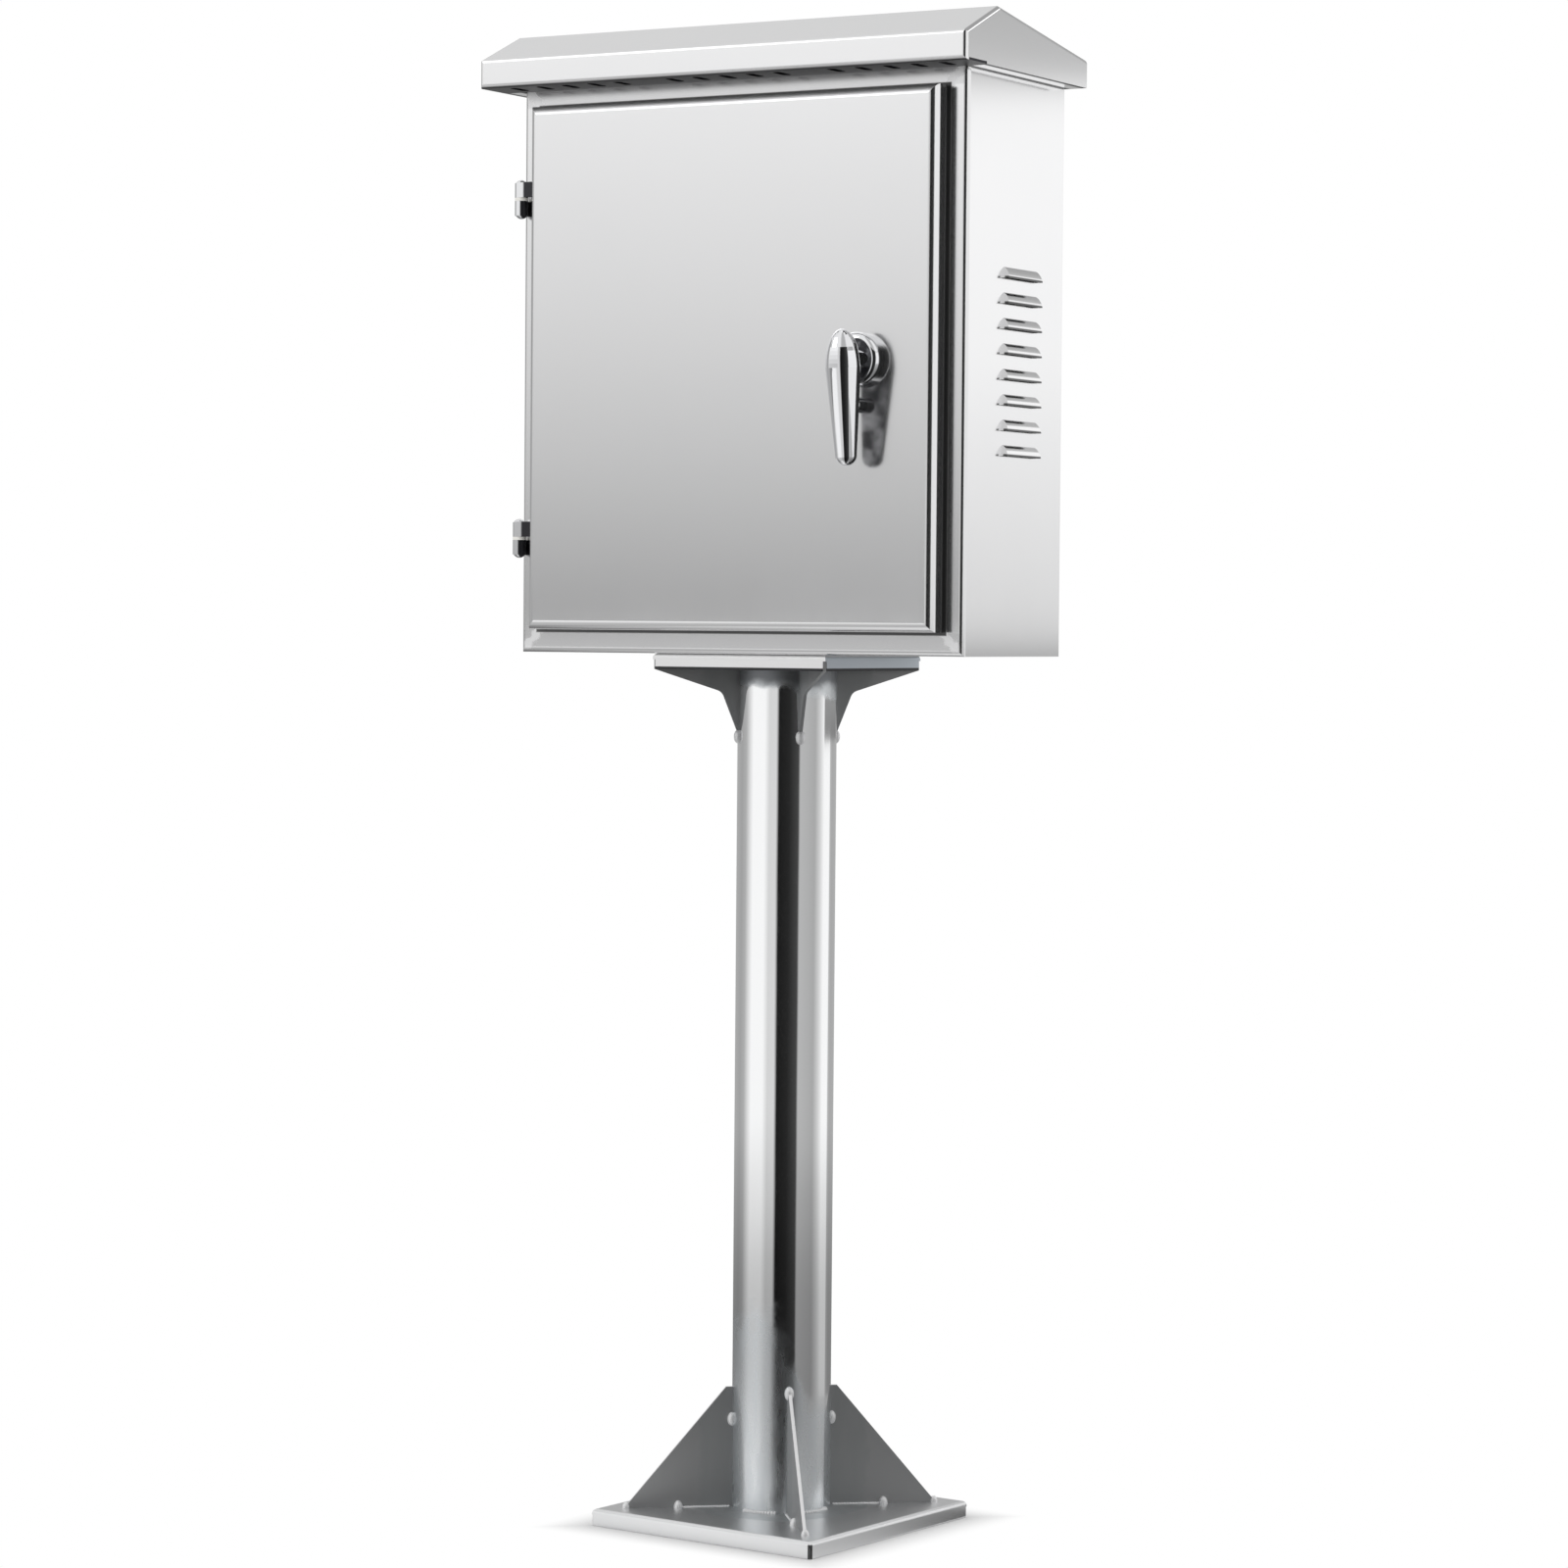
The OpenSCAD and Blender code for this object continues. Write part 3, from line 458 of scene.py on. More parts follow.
def use(tree, group, **values):
    """Places a node group with its own values and returns its outputs."""
    return place(tree, "ShaderNodeGroup", {"node_tree": group}, **values).outputs


def tint(tree, mask, plain, changed):
    """A colour that goes with the mask from plain, a colour or a node's output, to changed."""
    node = place(tree, "ShaderNodeMix", {"data_type": "RGBA"})
    feed(tree, node.inputs[MIX_FACTOR], mask)
    feed(tree, node.inputs[MIX_FIRST], (*plain, 1) if isinstance(plain, tuple) else plain)
    feed(tree, node.inputs[MIX_SECOND], (*changed, 1))
    return node.outputs[MIX_COLOUR]


def fade(tree, mask, plain, changed):
    """A value that goes with the mask from plain, a node's output, to changed."""
    kept = calc(tree, "MULTIPLY", plain, calc(tree, "SUBTRACT", 1.0, mask))
    return calc(tree, "MULTIPLY_ADD", mask, changed, kept)


def bump(tree, height, depth, normal=None):
    """A Bump node whose full height is depth metres."""
    node = place(tree, "ShaderNodeBump", Strength=1.0, Distance=depth, Height=height)
    if normal:
        tree.links.new(normal, node.inputs["Normal"])
    return node.outputs[0]


def shaded(name, **sockets):
    """A material with one Principled shader."""
    material, tree, output = bare_material(name)
    shader = place(tree, "ShaderNodeBsdfPrincipled", **sockets)
    tree.links.new(shader.outputs[0], output.inputs["Surface"])
    return material, tree, shader.inputs


def marked(tree, colour, rough, marks):
    """Lays zones over a colour and a roughness; a mark is (mask function, colour, roughness)."""
    for mask_of, own_colour, own_rough in marks:
        mask = mask_of(tree)
        colour = tint(tree, mask, colour, own_colour)
        rough = fade(tree, mask, rough, own_rough)
    return colour, rough


print("helpers:", [helper.__name__ for helper in (use, tint, fade, bump, shaded, marked)])

# %% [markdown]
# One function makes a metal: full Metallic, a base colour that haze smears, and a roughness and
# bumps that follow the belt lines. Each finish could be a material built by hand, but then a change
# to the lines would have to be made many times. The plain finishes come first: satin sheet, chromed
# trim, bright fasteners, galvanised rail and plate, and the brass of the earth bar.

# %% Make the plain metals
HAZE_ROUGH, BELT_DEPTH = 0.12, 0.6e-6


def metal(name, colour, smeared, rough, spread, stretch=UPRIGHT, wave=0.0, cover=0.5, marks=()):
    """Metal with belt lines along stretch, hand haze and slow waves.

    The lines move the roughness by spread, wave is the depth of the waves in metres, and cover the
    share of the surface that is hazy.
    """
    material, tree, shader = shaded(name, Metallic=1.0)
    lines = use(tree, belt, Stretch=stretch)["Lines"]
    film = use(tree, haze, Cover=cover)["Mask"]
    base = tint(tree, film, colour, smeared)
    uneven = calc(tree, "MULTIPLY_ADD", lines, spread, rough - spread / 2)
    uneven = calc(tree, "MULTIPLY_ADD", film, HAZE_ROUGH, uneven)
    base, uneven = marked(tree, base, uneven, marks)
    tree.links.new(base, shader["Base Color"])
    tree.links.new(uneven, shader["Roughness"])
    slow = bump(tree, use(tree, waves)["Height"], wave)
    tree.links.new(bump(tree, lines, BELT_DEPTH, slow), shader["Normal"])
    return material


SATIN = {
    "colour": (0.82, 0.82, 0.825), "smeared": (0.76, 0.765, 0.775), "rough": 0.15, "spread": 0.03,
    "wave": 0.0002,
}
CHROME = {
    "colour": (0.86, 0.865, 0.88), "smeared": (0.76, 0.77, 0.79), "rough": 0.04, "spread": 0.02,
    "cover": 0.2,
}
satin = metal("satin_steel", **SATIN)
chrome = metal("chrome_trim", **CHROME)
fastener = metal(
    "bright_fasteners", (0.66, 0.665, 0.67), (0.5, 0.5, 0.5), rough=0.24, spread=0.06,
    stretch=LEVEL)
galvanised = metal(
    "galvanised", (0.62, 0.64, 0.66), (0.47, 0.49, 0.52), rough=0.36, spread=0.1, stretch=LEVEL,
    wave=0.0003, cover=0.6)
brass = metal(
    "earth_brass", (0.80, 0.60, 0.28), (0.62, 0.43, 0.18), rough=0.24, spread=0.1, stretch=LEVEL)
print("metals made:", [m.name for m in (satin, chrome, fastener, galvanised, brass)])

# %% [markdown]
# Some pieces have zones with a look of their own: dirty, ground or burnt. Such zones could be
# separate faces with their own material, but the CAD meshes stay as they are. So a mask finds them:
# where a zone lies follows from the point's own place and from the way its face looks. A few
# helpers read these two and put masks together.

# %% Write the zone helpers


def spot(tree, axis):
    """One coordinate of the point, in the object's own axes."""
    return split(tree, own_point(tree))[axis]


def facing(tree, axis):
    """One coordinate of the point's normal, in the object's own axes."""
    return split(tree, place(tree, "ShaderNodeTexCoord").outputs["Normal"])[axis]


def size_of(tree, value):
    """A value without its sign."""
    return calc(tree, "ABSOLUTE", value)


def either(tree, first, second):
    """The larger of two masks."""
    return calc(tree, "MAXIMUM", first, second)


def both(tree, first, second):
    """The product of two masks."""
    return calc(tree, "MULTIPLY", first, second)


def looks_down(tree):
    """1 on faces that look down."""
    return under(tree, facing(tree, "Z"), edge=-0.7, soft=0.2)


def looks_front(tree):
    """1 on faces that look to the front."""
    return under(tree, facing(tree, "Y"), edge=-0.875, soft=0.075)


print("zones read:", [f.__name__ for f in (spot, facing, looks_down, looks_front)])

# %% [markdown]
# Under the hood's eaves the sheet was never brushed and stays dull, and its colour there is painted
# dark as shade. The cut walls of the vent slots there are painted black as shade. Both could be
# left to shadow, but bright steel mirrors light even there. The hood is brushed along its length,
# because its blank was cut the other way round.

# %% Make the hood's sheet
# the back panel is as wide as the cabinet, and as far behind the axis as the frame is before it
HALF_WIDE, FRAME_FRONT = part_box("back_panel")[1].x, -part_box("back_panel")[1].y
HOOD_HALF, HOOD_FRONT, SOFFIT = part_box("hood")[1].x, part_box("hood")[0].y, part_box("hood")[0].z
STRIP_INNER, STRIP_OUTER = HALF_WIDE + 0.004, HOOD_HALF - 0.005
VENT_INSET, VENT_DEEP = 0.005, 0.00225
# the first colour is painted shade under the eaves; the second is painted black shade, in the vent
# slots and on the hinge halves beside the door
EAVES_SHADE, SLOT_AND_HINGE_SHADE = (0.07, 0.07, 0.073), (0.05, 0.05, 0.055)


def eaves_dull_and_shade(tree):
    """1 under the front eaves and on the two edges of the strips under the gables: painted shade.
    """
    off = size_of(tree, spot(tree, "X"))
    inner = under(tree, off, STRIP_INNER, soft=0.0015)
    outer = over(tree, off, STRIP_OUTER, soft=0.0015)
    front = under(tree, spot(tree, "Y"), FRAME_FRONT - 0.0005, soft=0.001)
    return both(tree, either(tree, either(tree, inner, outer), front), looks_down(tree))


def vent_slot_shade(tree):
    """1 on the cut walls of the vent slots under the front eaves, painted black as shade."""
    y = spot(tree, "Y")
    behind_fascia = over(tree, y, HOOD_FRONT + VENT_INSET, soft=0.0005)
    before_frame = under(tree, y, FRAME_FRONT - VENT_INSET, soft=0.0005)
    upright = under(tree, size_of(tree, facing(tree, "Z")), edge=0.45, soft=0.15)
    low = under(tree, spot(tree, "Z"), SOFFIT + VENT_DEEP, soft=0.00025)
    return both(tree, both(tree, behind_fascia, before_frame), both(tree, upright, low))


satin_level = metal(
    "satin_steel_level", **SATIN, stretch=LEVEL,
    marks=[(eaves_dull_and_shade, EAVES_SHADE, 0.45), (vent_slot_shade, SLOT_AND_HINGE_SHADE, 0.6)])
print("hood's sheet:", satin_level.name, "soffit at", round(SOFFIT, 4))

# %% [markdown]
# On the cabinet, the mitred corners of the front frame were welded and ground flat, the strips over
# and under the door are a little darker and rougher, and a line of painted shade runs along the
# door's edge and in the louvres' mouths. The frame is an upright rectangle, and so is the door, so
# most of these zones need only the distance from the edges of a rectangle.

# %% Make the cabinet's sheet
CABINET_LOW, CABINET_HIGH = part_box("cabinet")
MID_HEIGHT = (CABINET_LOW.z + CABINET_HIGH.z) / 2
HALF_TALL = (CABINET_HIGH.z - CABINET_LOW.z) / 2
DOOR_LOW, DOOR_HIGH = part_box("door")
DOOR_HALF_WIDE = (DOOR_HIGH.x - DOOR_LOW.x) / 2
DOOR_HALF_TALL = (DOOR_HIGH.z - DOOR_LOW.z) / 2
LOUVRE_START, LOUVRE_PITCH = 0.956, 0.022
LOUVRE_MOUTH, LOUVRE_SKIN = 0.0021, HALF_WIDE + 0.00225
END_STRIP, DUST_LINE = 0.01975, 0.0027
MITRE_GROUND, MITRE_TORN = 0.0115, 0.012
# the first colour darkens the strips over and under the door; the last is painted shade along the
# door's edge and in the louvres' mouths
STRIP_DARKER, GROUND, GAP_SHADE = (0.70, 0.70, 0.705), (0.88, 0.88, 0.885), (0.13, 0.13, 0.13)


def inside(tree, half_wide, half_tall):
    """How far a point lies inside the two side edges and the two end edges of a rectangle."""
    off_middle = size_of(tree, calc(tree, "SUBTRACT", spot(tree, "Z"), MID_HEIGHT))
    from_side = calc(tree, "SUBTRACT", half_wide, size_of(tree, spot(tree, "X")))
    return from_side, calc(tree, "SUBTRACT", half_tall, off_middle)


def frame_corners(tree):
    """1 on the ground corners of the front frame, along the mitre."""
    off_mitre = size_of(tree, calc(tree, "SUBTRACT", *inside(tree, HALF_WIDE, HALF_TALL)))
    cloud = noise(tree, own_point(tree), scale=160.0, detail=3.0)
    torn = calc(tree, "MULTIPLY_ADD", cloud, MITRE_TORN, off_mitre)
    return both(tree, under(tree, torn, MITRE_GROUND, soft=0.0025), looks_front(tree))


def end_strips(tree):
    """1 on the frame's strips over and under the door, which are a little darker and rougher."""
    from_end = inside(tree, HALF_WIDE, HALF_TALL)[1]
    return both(tree, under(tree, from_end, END_STRIP, soft=0.00125), looks_front(tree))


def door_gap_shade(tree):
    """1 on the frame along the door's edge, where a line of shade is painted."""
    off = size_of(tree, calc(tree, "MINIMUM", *inside(tree, DOOR_HALF_WIDE, DOOR_HALF_TALL)))
    return both(tree, under(tree, off, DUST_LINE, soft=0.0007), looks_front(tree))


def louvre_mouth_shade(tree):
    """1 on the lowest strip of each louvre, where a line of shade is painted."""
    rise = calc(tree, "SUBTRACT", spot(tree, "Z"), LOUVRE_START)
    part = calc(tree, "FRACT", calc(tree, "DIVIDE", rise, LOUVRE_PITCH))
    low = under(tree, calc(tree, "MULTIPLY", part, LOUVRE_PITCH), LOUVRE_MOUTH, soft=0.0005)
    return both(tree, low, over(tree, size_of(tree, spot(tree, "X")), LOUVRE_SKIN, soft=0.00075))


satin_frame = metal(
    "satin_steel_frame", **SATIN,
    marks=[
        (end_strips, STRIP_DARKER, 0.2), (frame_corners, GROUND, 0.34),
        (door_gap_shade, GAP_SHADE, 0.5), (louvre_mouth_shade, GAP_SHADE, 0.5),
    ])
print("cabinet's sheet:", satin_frame.name, "middle at", round(MID_HEIGHT, 4))

# %% [markdown]
# The door's upper fold was ground after folding and is rougher than the sheet, so it does not
# mirror the dark eaves over it. The back of the cast lever is painted almost black in patches, as
# shade, and the door mirrors it as a dark, patchy shape. The hinge leaves are painted dark as shade
# on the half beside the door. A mask could be written for each leaf, but Blender's Generated
# coordinate runs from 0 to 1 across every leaf, so one mask fits all.

# %% Make the finishes of door, lever and hinges
# painted shade on the lever's back, which the door mirrors beside the lever
LEVER_BACK_SHADE = (0.08, 0.08, 0.085)


def upper_fold(tree):
    """1 on the door's upper fold."""
    return over(tree, facing(tree, "Z"), edge=0.2, soft=0.1)


def back_shade_patches(tree):
    """1 in patches on faces that look back at the door, painted dark as shade."""
    cloud = noise(tree, own_point(tree), scale=70.0, detail=3.0)
    patchy = ramp(tree, cloud, start=0.35, end=0.6, low=0.6, high=1.0)
    return both(tree, patchy, over(tree, facing(tree, "Y"), edge=0.4, soft=0.2))


def hinge_door_shade(tree):
    """1 on the half of a hinge leaf that lies at the door, painted dark as shade."""
    across = split(tree, place(tree, "ShaderNodeTexCoord").outputs["Generated"])["X"]
    return over(tree, across, edge=0.55, soft=0.05)


satin_door = metal("satin_steel_door", **SATIN, marks=[(upper_fold, GROUND, 0.5)])
chrome_lever = metal("chrome_lever", **CHROME, marks=[(back_shade_patches, LEVER_BACK_SHADE, 0.5)])
chrome_hinge = metal("chrome_hinge", **CHROME, marks=[(hinge_door_shade, SLOT_AND_HINGE_SHADE, 0.5)])
print("marked finishes:", [m.name for m in (satin_door, chrome_lever, chrome_hinge)])

# %% [markdown]
# The tube is polished almost to a mirror, with the weld's dull, bluish skin at both ends. The lower
# skin climbs higher on one side of the tube than on the other. It could be painted on by hand, but
# a mask can be moved later. The weld skin needs a distance that is 0 at the weld and 1 where the
# skin ends, so the height from each end is divided by that end's own reach. Close under the upper
# sheet the tube is painted darker still, as shade.

# %% Make the tube's finish
POLE_LOW, POLE_HIGH = (c.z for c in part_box("pole"))
SKIN_SIDE = (0.87, 0.5)  # the lower skin grows short towards this side, the upper one long
LOW_SKIN, HIGH_SKIN = (0.195, 0.11), (0.028, 0.04)
TURNS_FROM, LOW_TURNS_TO, HIGH_TURNS_TO = -0.006, 0.03, 0.012
SKIN_HAZE, SKIN_WAVE, SKIN_DEPTH = 0.14, 0.0004, 0.00006
# reach and ragged edge of the painted shade under the upper sheet
TOP_SHADE_END, TOP_SHADE_TORN = 0.031, 0.012
# the last colour is painted shade under the upper sheet
BARE, DULLED, TOP_SHADE = (0.92, 0.925, 0.93), (0.70, 0.73, 0.75), (0.3, 0.31, 0.325)


def welded(name, colour, dulled, rough, dull_rough, distance_of, scale=22.0, marks=()):
    """Metal with a weld skin, whose distance from the weld comes from distance_of(tree)."""
    material, tree, shader = shaded(name, Metallic=1.0)
    skin = use(tree, heat, Distance=distance_of(tree), Scale=scale)
    film = use(tree, haze, Scale=11.0)["Mask"]
    streaky = ramp(tree, skin["Mottle"], start=0.35, end=0.7, low=0.7, high=1.0)
    spots = both(tree, skin["Mask"], streaky)
    base = tint(tree, spots, colour, dulled)
    uneven = calc(tree, "MULTIPLY_ADD", film, SKIN_HAZE, rough)
    uneven = calc(tree, "MULTIPLY_ADD", spots, dull_rough - rough, uneven)
    base, uneven = marked(tree, base, uneven, marks)
    tree.links.new(base, shader["Base Color"])
    tree.links.new(uneven, shader["Roughness"])
    slow = bump(tree, use(tree, waves, Scale=9.0)["Height"], SKIN_WAVE)
    rub = both(tree, skin["Mottle"], skin["Mask"])
    tree.links.new(bump(tree, rub, SKIN_DEPTH, slow), shader["Normal"])
    return material


def from_pole_ends(tree):
    """Distance from the nearer end of the tube, over the reach of that end's skin."""
    x, y, z = split(tree, own_point(tree))
    side = calc(tree, "MULTIPLY_ADD", x, SKIN_SIDE[0], calc(tree, "MULTIPLY", y, SKIN_SIDE[1]))
    low_reach = ramp(tree, side, TURNS_FROM, LOW_TURNS_TO, *LOW_SKIN)
    high_reach = ramp(tree, side, TURNS_FROM, HIGH_TURNS_TO, *HIGH_SKIN)
    from_low = calc(tree, "DIVIDE", calc(tree, "SUBTRACT", z, POLE_LOW), low_reach)
    from_high = calc(tree, "DIVIDE", calc(tree, "SUBTRACT", POLE_HIGH, z), high_reach)
    return calc(tree, "MINIMUM", from_low, from_high)


def tube_top_shade(tree):
    """1 on the end of the tube under the upper sheet, painted dark as shade."""
    down = calc(tree, "SUBTRACT", POLE_HIGH, spot(tree, "Z"))
    cloud = noise(tree, own_point(tree), scale=60.0, detail=4.0)
    torn = calc(tree, "MULTIPLY_ADD", cloud, TOP_SHADE_TORN, down)
    return under(tree, torn, TOP_SHADE_END, soft=0.005)


polished = welded(
    "polished_steel", BARE, DULLED, rough=0.07, dull_rough=0.32, distance_of=from_pole_ends,
    marks=[(tube_top_shade, TOP_SHADE, 0.5)])
print("tube:", polished.name, "from", round(POLE_LOW, 3), "to", round(POLE_HIGH, 3))

# %% [markdown]
# The gussets are dull plate with bright sheared edges. A bevel could carry the bright edge, but a
# mask finds it too: a gusset points at the axis, so an edge is wherever the normal has no part
# round that axis. Heat spreads from the tube into the plates, so their skin follows the distance
# from the tube's wall. The weld metal itself is bright, but too rough to mirror.

# %% Make the finishes of gussets and welds
POLE_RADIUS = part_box("pole")[1].x
HEAT_REACH, LOWER_PLATES = 0.035, 0.35
SHEARED = (0.93, 0.93, 0.935)


def from_axis(tree, x, y):
    """Distance from the pole's axis."""
    squares = calc(tree, "ADD", calc(tree, "MULTIPLY", x, x), calc(tree, "MULTIPLY", y, y))
    return calc(tree, "SQRT", squares)


def from_tube(tree):
    """Distance from the tube's wall, over the reach of the heat in a plate."""
    x, y, z = split(tree, own_point(tree))
    gap = calc(tree, "SUBTRACT", from_axis(tree, x, y), POLE_RADIUS)
    return calc(tree, "DIVIDE", gap, HEAT_REACH)


def cut_edges(tree):
    """1 on the cut edges of the lower gussets."""
    x, y, z = split(tree, own_point(tree))
    one = calc(tree, "MULTIPLY", x, facing(tree, "Y"))
    other = calc(tree, "MULTIPLY", y, facing(tree, "X"))
    turned = calc(tree, "DIVIDE", calc(tree, "SUBTRACT", one, other), from_axis(tree, x, y))
    edge = under(tree, size_of(tree, turned), edge=0.55, soft=0.15)
    return both(tree, edge, under(tree, z, LOWER_PLATES, soft=0.05))


gusset_plate = welded(
    "gusset_plate", (0.44, 0.445, 0.45), (0.40, 0.41, 0.415), rough=0.5, dull_rough=0.55,
    distance_of=from_tube, scale=30.0, marks=[(cut_edges, SHEARED, 0.34)])
weld_metal = welded(
    "weld_metal", SHEARED, (0.88, 0.885, 0.89), rough=0.6, dull_rough=0.65,
    distance_of=from_tube, scale=60.0)
print("plates:", [m.name for m in (gusset_plate, weld_metal)])

# %% [markdown]
# The two folded sheets of the stand were never polished. The foot's sheet is painted dark as shade
# beside its open corner seams. That shade could be a thin strip of its own, but as a mask it lies
# on the sheet by itself. The head's sheet is matt and almost white, with a right rim painted bluish
# grey as shade, and an underside and lowest edge painted dark as shade.

# %% Make the sheets of foot and head
PAN_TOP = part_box("base_pan")[1].z
# a turned square's box is wider than its side, so the half side follows from the turn
PAN_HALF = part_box("base_pan")[1].x / (cos(radians(FOOT_TURN)) - sin(radians(FOOT_TURN)))
SEAM_STRIP, SEAM_TOP = PAN_HALF - 0.003, PAN_TOP - 0.0025
HEAD_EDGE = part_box("top_pan")[0].z + 0.0024
# both colours are painted shade: the first beside the foot's seams and under the head's sheet, the
# second on the head's right rim
SHADED, RIGHT_RIM_SHADE = (0.06, 0.06, 0.062), (0.5, 0.54, 0.58)


def open_seams(tree):
    """1 beside the open seams of the foot's near and far corner, where x and y differ in sign."""
    x, y, z = along_foot(tree)
    in_corner = calc(tree, "MINIMUM", size_of(tree, x), size_of(tree, y))
    beside = over(tree, in_corner, SEAM_STRIP, soft=0.0004)
    below = under(tree, z, SEAM_TOP, soft=0.0005)
    near_or_far = calc(tree, "LESS_THAN", calc(tree, "MULTIPLY", x, y), 0.0)
    return both(tree, both(tree, beside, below), near_or_far)


def head_underside(tree):
    """1 on the underside of the head's sheet and on the lowest edge of its rim."""
    edge = under(tree, spot(tree, "Z"), HEAD_EDGE, soft=0.0004)
    return either(tree, edge, looks_down(tree))


def head_right_shade(tree):
    """1 on the right rim of the head's sheet, painted bluish grey as shade."""
    return over(tree, facing(tree, "X"), edge=0.8, soft=0.1)


stand_sheet = welded(
    "stand_sheet", (0.80, 0.805, 0.81), (0.60, 0.62, 0.63), rough=0.32, dull_rough=0.42,
    distance_of=from_tube, marks=[(open_seams, SHADED, 0.5)])
head_sheet = welded(
    "head_sheet", (0.98, 0.98, 0.98), (0.9, 0.905, 0.91), rough=0.5, dull_rough=0.55,
    distance_of=from_tube, marks=[(head_right_shade, RIGHT_RIM_SHADE, 0.4), (head_underside, SHADED, 0.5)])
print("sheets:", [m.name for m in (stand_sheet, head_sheet)], "foot's side", round(2 * PAN_HALF, 4))

# %% [markdown]
# The rest is small: black rubber round the door and the cable hole, white nylon washers, and the
# plastics of the terminals. They differ in colour and gloss, and each has a fine moulded skin. One
# function makes them all, because only its values change.

# %% Make rubber and plastics
GLOSS, SKIN_SPREAD = 0.45, 0.16


def moulded(name, colour, worn, rough, grain_scale, grain_depth):
    """Plastic or rubber with a fine moulded skin."""
    material, tree, shader = shaded(name, Specular_IOR_Level=GLOSS)
    skin = noise(tree, own_point(tree), grain_scale, detail=3.0)
    film = use(tree, haze, Scale=25.0)["Mask"]
    uneven = calc(tree, "MULTIPLY_ADD", skin, SKIN_SPREAD, rough - SKIN_SPREAD / 2)
    tree.links.new(tint(tree, film, colour, worn), shader["Base Color"])
    tree.links.new(uneven, shader["Roughness"])
    tree.links.new(bump(tree, skin, grain_depth), shader["Normal"])
    return material


rubber = moulded(
    "gasket_rubber", (0.018, 0.018, 0.019), (0.05, 0.05, 0.05),
    rough=0.62, grain_scale=900.0, grain_depth=0.00005)
nylon = moulded(
    "washer_nylon", (0.80, 0.79, 0.75), (0.66, 0.65, 0.61),
    rough=0.4, grain_scale=700.0, grain_depth=0.00002)
terminal = moulded(
    "terminal_plastic", (0.56, 0.53, 0.44), (0.47, 0.44, 0.36),
    rough=0.45, grain_scale=800.0, grain_depth=0.00003)
clamp = moulded(
    "clamp_plastic", (0.09, 0.092, 0.095), (0.15, 0.15, 0.15),
    rough=0.5, grain_scale=800.0, grain_depth=0.00003)
post = moulded(
    "post_plastic", (0.40, 0.035, 0.03), (0.30, 0.04, 0.035),
    rough=0.38, grain_scale=700.0, grain_depth=0.00003)
print("plastics made:", [m.name for m in (rubber, nylon, terminal, clamp, post)])

# %% [markdown]
# ## Dress the CAD pieces
#
# The record names a finish for every piece, so the materials are handed out by that name. They
# could be dragged on one by one, but the record already knows all pieces. A few pieces have marked
# zones of their own and get the finish made for them instead.

# %% Hand out the finishes
finishes = {
    "satin_steel": satin, "polished_steel": polished, "stand_sheet": stand_sheet,
    "gusset_plate": gusset_plate, "chrome_trim": chrome, "bright_fasteners": fastener,
    "galvanised": galvanised, "earth_brass": brass, "gasket_rubber": rubber, "washer_nylon": nylon,
    "terminal_plastic": terminal, "clamp_plastic": clamp, "post_plastic": post,
}
special = {
    "hood": satin_level, "cabinet": satin_frame, "door": satin_door, "latch_lever": chrome_lever,
    "top_pan": head_sheet,
}
for end in ("upper", "lower"):
    for side in ("frame", "door"):
        special[f"{end}_hinge_{side}_leaf"] = chrome_hinge
for subpart in frame["record"]["subparts"]:
    mesh = nodes[subpart["node"]].data
    mesh.materials.clear()
    own = special.get(subpart["node"])
    mesh.materials.append(own or finishes[subpart["material_slot"]])

# %% [markdown]
# ## Weld beads
#
# The stand is welded, and the photograph shows bright drops of weld where each bead starts and
# stops. A bead is a row of drops that froze one after the other, so it is modelled as a tube whose
# girth swells once per drop. Half of it sinks into the corner between the two plates, as the real
# one does. A bump in the material would be less work, but it would leave the outline straight.

# %% Model a bead
DROP_PITCH, RINGS_PER_DROP, BEAD_SIDES = 0.0026, 5, 10
SWELL, BLUNT = 0.2, 0.04
WOBBLE, FAST_BEAT, SLOW_BEAT = 0.08, 3.7, 1.3
STEEP = 0.9


def join(bm, rings):
    """Adds the faces between rings of points that lie one after the other."""
    for one, other in zip(rings, rings[1:]):
        for k, point in enumerate(one):
            n = (k + 1) % len(one)
            bm.faces.new((point, one[n], other[n], other[k]))


def bead(bm, points, radius):
    """Adds a tube along evenly spaced points, swelling once per drop, with rounded ends."""
    last = len(points) - 1
    rings = []
    for i, point in enumerate(points):
        along = (points[min(i + 1, last)] - points[max(i - 1, 0)]).normalized()
        side = along.orthogonal() if abs(along.z) > STEEP else along.cross(UP)
        side.normalize()
        lift = along.cross(side)
        drop = abs(sin(pi * i / RINGS_PER_DROP))
        wobble = WOBBLE * sin(FAST_BEAT * i) * sin(SLOW_BEAT * i)
        girth = radius * (1 - SWELL + SWELL * drop) * (1 + wobble)
        end = min(i, last - i) * DROP_PITCH / RINGS_PER_DROP / radius
        girth *= sqrt(max(BLUNT, 1 - (1 - min(1.0, end)) ** 2))
        turns = [2 * pi * k / BEAD_SIDES for k in range(BEAD_SIDES)]
        rings.append([bm.verts.new(point + (side * cos(t) + lift * sin(t)) * girth) for t in turns])
    join(bm, rings)
    bm.faces.new(rings[0][::-1])
    bm.faces.new(rings[-1])


def straight(start, end):
    """Evenly spaced points from start to end."""
    steps = max(4, round((end - start).length / DROP_PITCH * RINGS_PER_DROP))
    return [start.lerp(end, i / steps) for i in range(steps + 1)]


print("rings in a bead of 10 mm:", len(straight(Vector(), UP * 0.01)))

# %% [markdown]
# Where the welder only touched the plates, a single drop froze, a little longer than wide. Blender
# has a ball that could be stretched to this, but its faces came out in another order on each run.
# So the drop is built ring by ring, as the bead is, and closed with a fan of faces at each pole.

